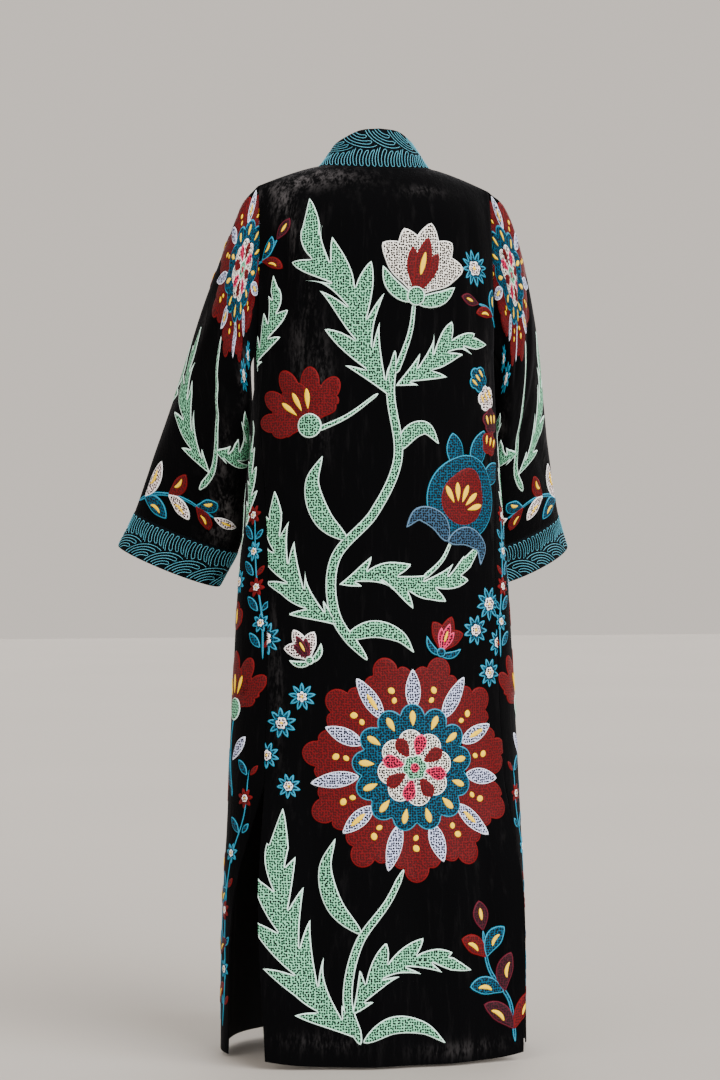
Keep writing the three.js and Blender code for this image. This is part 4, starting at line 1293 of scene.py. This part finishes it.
def cordCell():
    # one repeat: a fan of nested arcs on the free edge, and a line that winds up and down between the fans
    # and the seam, all leaning one way by a shear. Places are (along, up) on a trim of the set height
    period, fan, pitch, height = cordSet["period"], cordSet["fan"], cordSet["pitch"], cordSet["height"]
    centre = np.array([cordSet["fanAt"], -cordSet["fanUnder"]])
    angle = np.linspace(pi, 0, 60)
    arcs = []
    for radius in np.arange(fan, 5, -pitch):
        points = centre + radius * np.stack([np.cos(angle), np.sin(angle)], -1)
        free = np.linalg.norm(points - centre - [period, 0], axis=1) > fan + cordSet["clear"]
        arcs.append(points[free & (points[:, 1] > cordSet["edge"])])
    lines = [arcs[0]]
    for first, second in zip(arcs[1::2], arcs[2::2]):
        if len(first) > 7 and len(second) > 7:
            # a pair of arcs joined at the right by a round turn
            bend = (first[-1:] + second[-1:]) / 2 + [cordSet["turnOut"], 0]
            lines.append(np.concatenate([first[:-2:3], bend, second[-3::-3]]))
    legPitch = pitch * cordSet["legShare"]
    legs = np.arange(2.0, period - 2, legPitch)
    # places along a leg, and how far its turns lean in to the next one there
    u = np.array([0.0, 0.07, 0.35, 0.65, 0.93, 1.0])
    inset = np.array([0.28, 0.03, 0, 0, 0.03, 0.28]) * legPitch
    winding = []
    for k, x in enumerate(legs):
        # a leg from the seam down to the top of the fan under its foot
        aside = (x + cordSet["legCurve"] - centre[0] + period / 2) % period - period / 2
        under = np.sqrt(fan ** 2 - aside ** 2) - cordSet["fanUnder"]
        top, low = height - cordSet["legTop"], under + cordSet["legFoot"]
        way = 1 if k % 2 else -1
        turned = np.where(u < 0.5, -way, way) * inset
        if k in (0, len(legs) - 1):
            turned[3:] = 0
        leg = np.stack([x + cordSet["legCurve"] * u ** 2 + turned, mix(top, low, u)], -1)
        winding.append(leg if k % 2 else leg[::-1])
    lines.append(np.concatenate(winding))
    lean = np.array([[1, 0], [cordSet["shear"], 1]])
    return [smoothLine(line @ lean, cordSet["along"]) for line in lines]


def couched(panel, name, length, placeOf, ring=False):
    # the cell repeated along a trim, each line a thin tube: centre + radius x (side x cos + up x sin).
    # placeOf turns (along, up) into the panel's flat places. A band's lines stop at its two ends, and a
    # ring's run on round it
    points, faces, base = [], [], 0
    sides = cordSet["sides"]
    turn = np.arange(sides) * 2 * pi / sides + pi / 2
    starts = np.arange(0 if ring else -2 * cordSet["period"], length - 1, cordSet["period"])
    for line in [line + [start, 0] for start in starts for line in cordCell()]:
        kept = ring | ((line[:, 0] > cordSet["endGap"]) & (line[:, 0] < length - cordSet["endGap"]))
        runs = np.split(line, np.flatnonzero(np.diff(kept)) + 1)
        for run in runs[0 if kept[0] else 1::2]:
            if len(run) < cordSet["shortest"]:
                continue
            flat = placeOf(run)
            low = panel.place(flat, np.zeros(len(flat)))
            up = panel.place(flat, np.ones(len(flat))) - low
            side = unit(np.cross(unit(np.gradient(low, axis=0)), up))
            centre = low + up * cordSet["radius"] * cordSet["sit"]
            circle = side[:, None] * np.cos(turn)[:, None] + up[:, None] * np.sin(turn)[:, None]
            skin = centre[:, None] + cordSet["radius"] * circle
            index = base + np.arange(len(run) * sides).reshape(-1, sides)
            points.append(skin.reshape(-1, 3))
            faces += gridFaces(index, True).tolist() + [index[0].tolist(), index[-1, ::-1].tolist()]
            base += index.size
    return meshPiece(name, np.concatenate(points), faces, [cord])


def cordFinish():
    # twisted cord: fine diagonal strands, a little lighter on the crown, and painted shade in patches along
    # it where the pile shadows the cord
    f = Finish("couched_cord")
    place = f.coordinates()
    strands = f.wave(place, 420.0, 3.0, "DIAGONAL")
    # painted shade: darker patches along the cord where the pile shadows it
    paintedPileShade = f.noise(place, 25, 2)
    colour = f.blend(strands * 0.5 + paintedPileShade * 0.5, linear(18, 138, 172), linear(124, 216, 234))
    return f.surface({
        "Base Color": colour, "Roughness": 0.5, "Specular IOR Level": 0.4, "Sheen Weight": 0.1,
        "Normal": f.bump(strands, 0.0004, 0.7),
    })


cord = cordFinish()
thread = threadFinish()
designs = {
    "back": backNeedlework(), "front_left": frontNeedlework(), "front_right": frontNeedlework(True),
    "sleeve_left": sleeveNeedlework(), "sleeve_right": sleeveNeedlework(True),
}
print("flat designs drawn:", {node: len(work.shapes) for node, work in designs.items()}, "shapes")
stitched = {node: raised(panels[node], work, node + "_embroidery", [thread])
            for node, work in designs.items()}
band = panels["collar_band"]


def onBand(line):
    # the band's own width shared out by how far up the cord is, its seam first
    wide = np.interp(line[:, 0], band.up[::-1], band.across[::-1, -1])
    share = 1 - line[:, 1] / cordSet["height"]
    return np.stack([np.clip(share * wide, 1.5, wide - 1.5), line[:, 0]], -1)


def onCuff(panel, side, length):
    # right round from the line under the arm: (along / length - 1/2) x the cuff's girth at that height
    rounds = panel.across[:, -1] - panel.across[:, 0]

    def place(line):
        wide = np.interp(line[:, 1], panel.up[::-1], rounds[::-1])
        return np.stack([side * (line[:, 0] / length - 0.5) * wide, line[:, 1]], -1)

    return place


stitched["collar_band"] = couched(band, "collar_band_cord", band.up[0], onBand)
for node, side in (("cuff_left", 1), ("cuff_right", -1)):
    cuff = panels[node]
    length = cordSet["period"] * round((cuff.across[-1, -1] - cuff.across[-1, 0]) / cordSet["period"])
    stitched[node] = couched(cuff, node + "_cord", length, onCuff(cuff, side, length), True)
for node, piece in stitched.items():
    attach(piece, "root")
print("embroidery and cord laid")
stageSet = {
    "floorZ": -1498.5, "floorHalf": 20000, "floorColour": (176, 170, 163), "floorFleck": 6,
    "worldColour": (222, 213, 204), "worldStrength": 1.1,
}
# name, shines from, softness in degrees, strength
lightTable = [
    ("key", (-2.6, 3.6, 3.0), 50, 4.6),
    ("fill", (3.4, 3.0, 1.6), 60, 1.5),
    ("front", (-1.5, -4.0, 2.2), 60, 2.1),
]


def stage():
    # a flat paper floor just under the hem, an even sky and three soft suns, each turned by its direction's
    # two angles: arccos(z) from the upright, arctan(y / x) round it
    half, z = stageSet["floorHalf"], stageSet["floorZ"]
    light = np.array(stageSet["floorColour"])
    f = Finish("floor")
    fleck = f.noise(f.coordinates(), 0.6, 2)
    paper = f.blend(fleck, linear(*light), linear(*(light - stageSet["floorFleck"])))
    material = f.surface({"Base Color": paper, "Roughness": 0.85, "Specular IOR Level": 0.2})
    square = [(-half, -half, z), (half, -half, z), (half, half, z), (-half, half, z)]
    meshPiece("floor", square, [[0, 1, 2, 3]], [material])
    world = bpy.data.worlds.new("studio")
    world.use_nodes = True
    world.node_tree.nodes["Background"].inputs[0].default_value = linear(*stageSet["worldColour"])
    world.node_tree.nodes["Background"].inputs[1].default_value = stageSet["worldStrength"]
    scene.world = world
    for name, place, softness, strength in lightTable:
        lamp = bpy.data.lights.new(name, "SUN")
        lamp.angle, lamp.energy = np.radians(softness), strength
        lampObject = bpy.data.objects.new(name, lamp)
        way = -unit(np.array(place, float))
        lampObject.rotation_euler = (np.arccos(-way[2]), 0, np.arctan2(way[1], way[0]) - pi / 2)
        scene.collection.objects.link(lampObject)


stage()
print("floor and lights set")
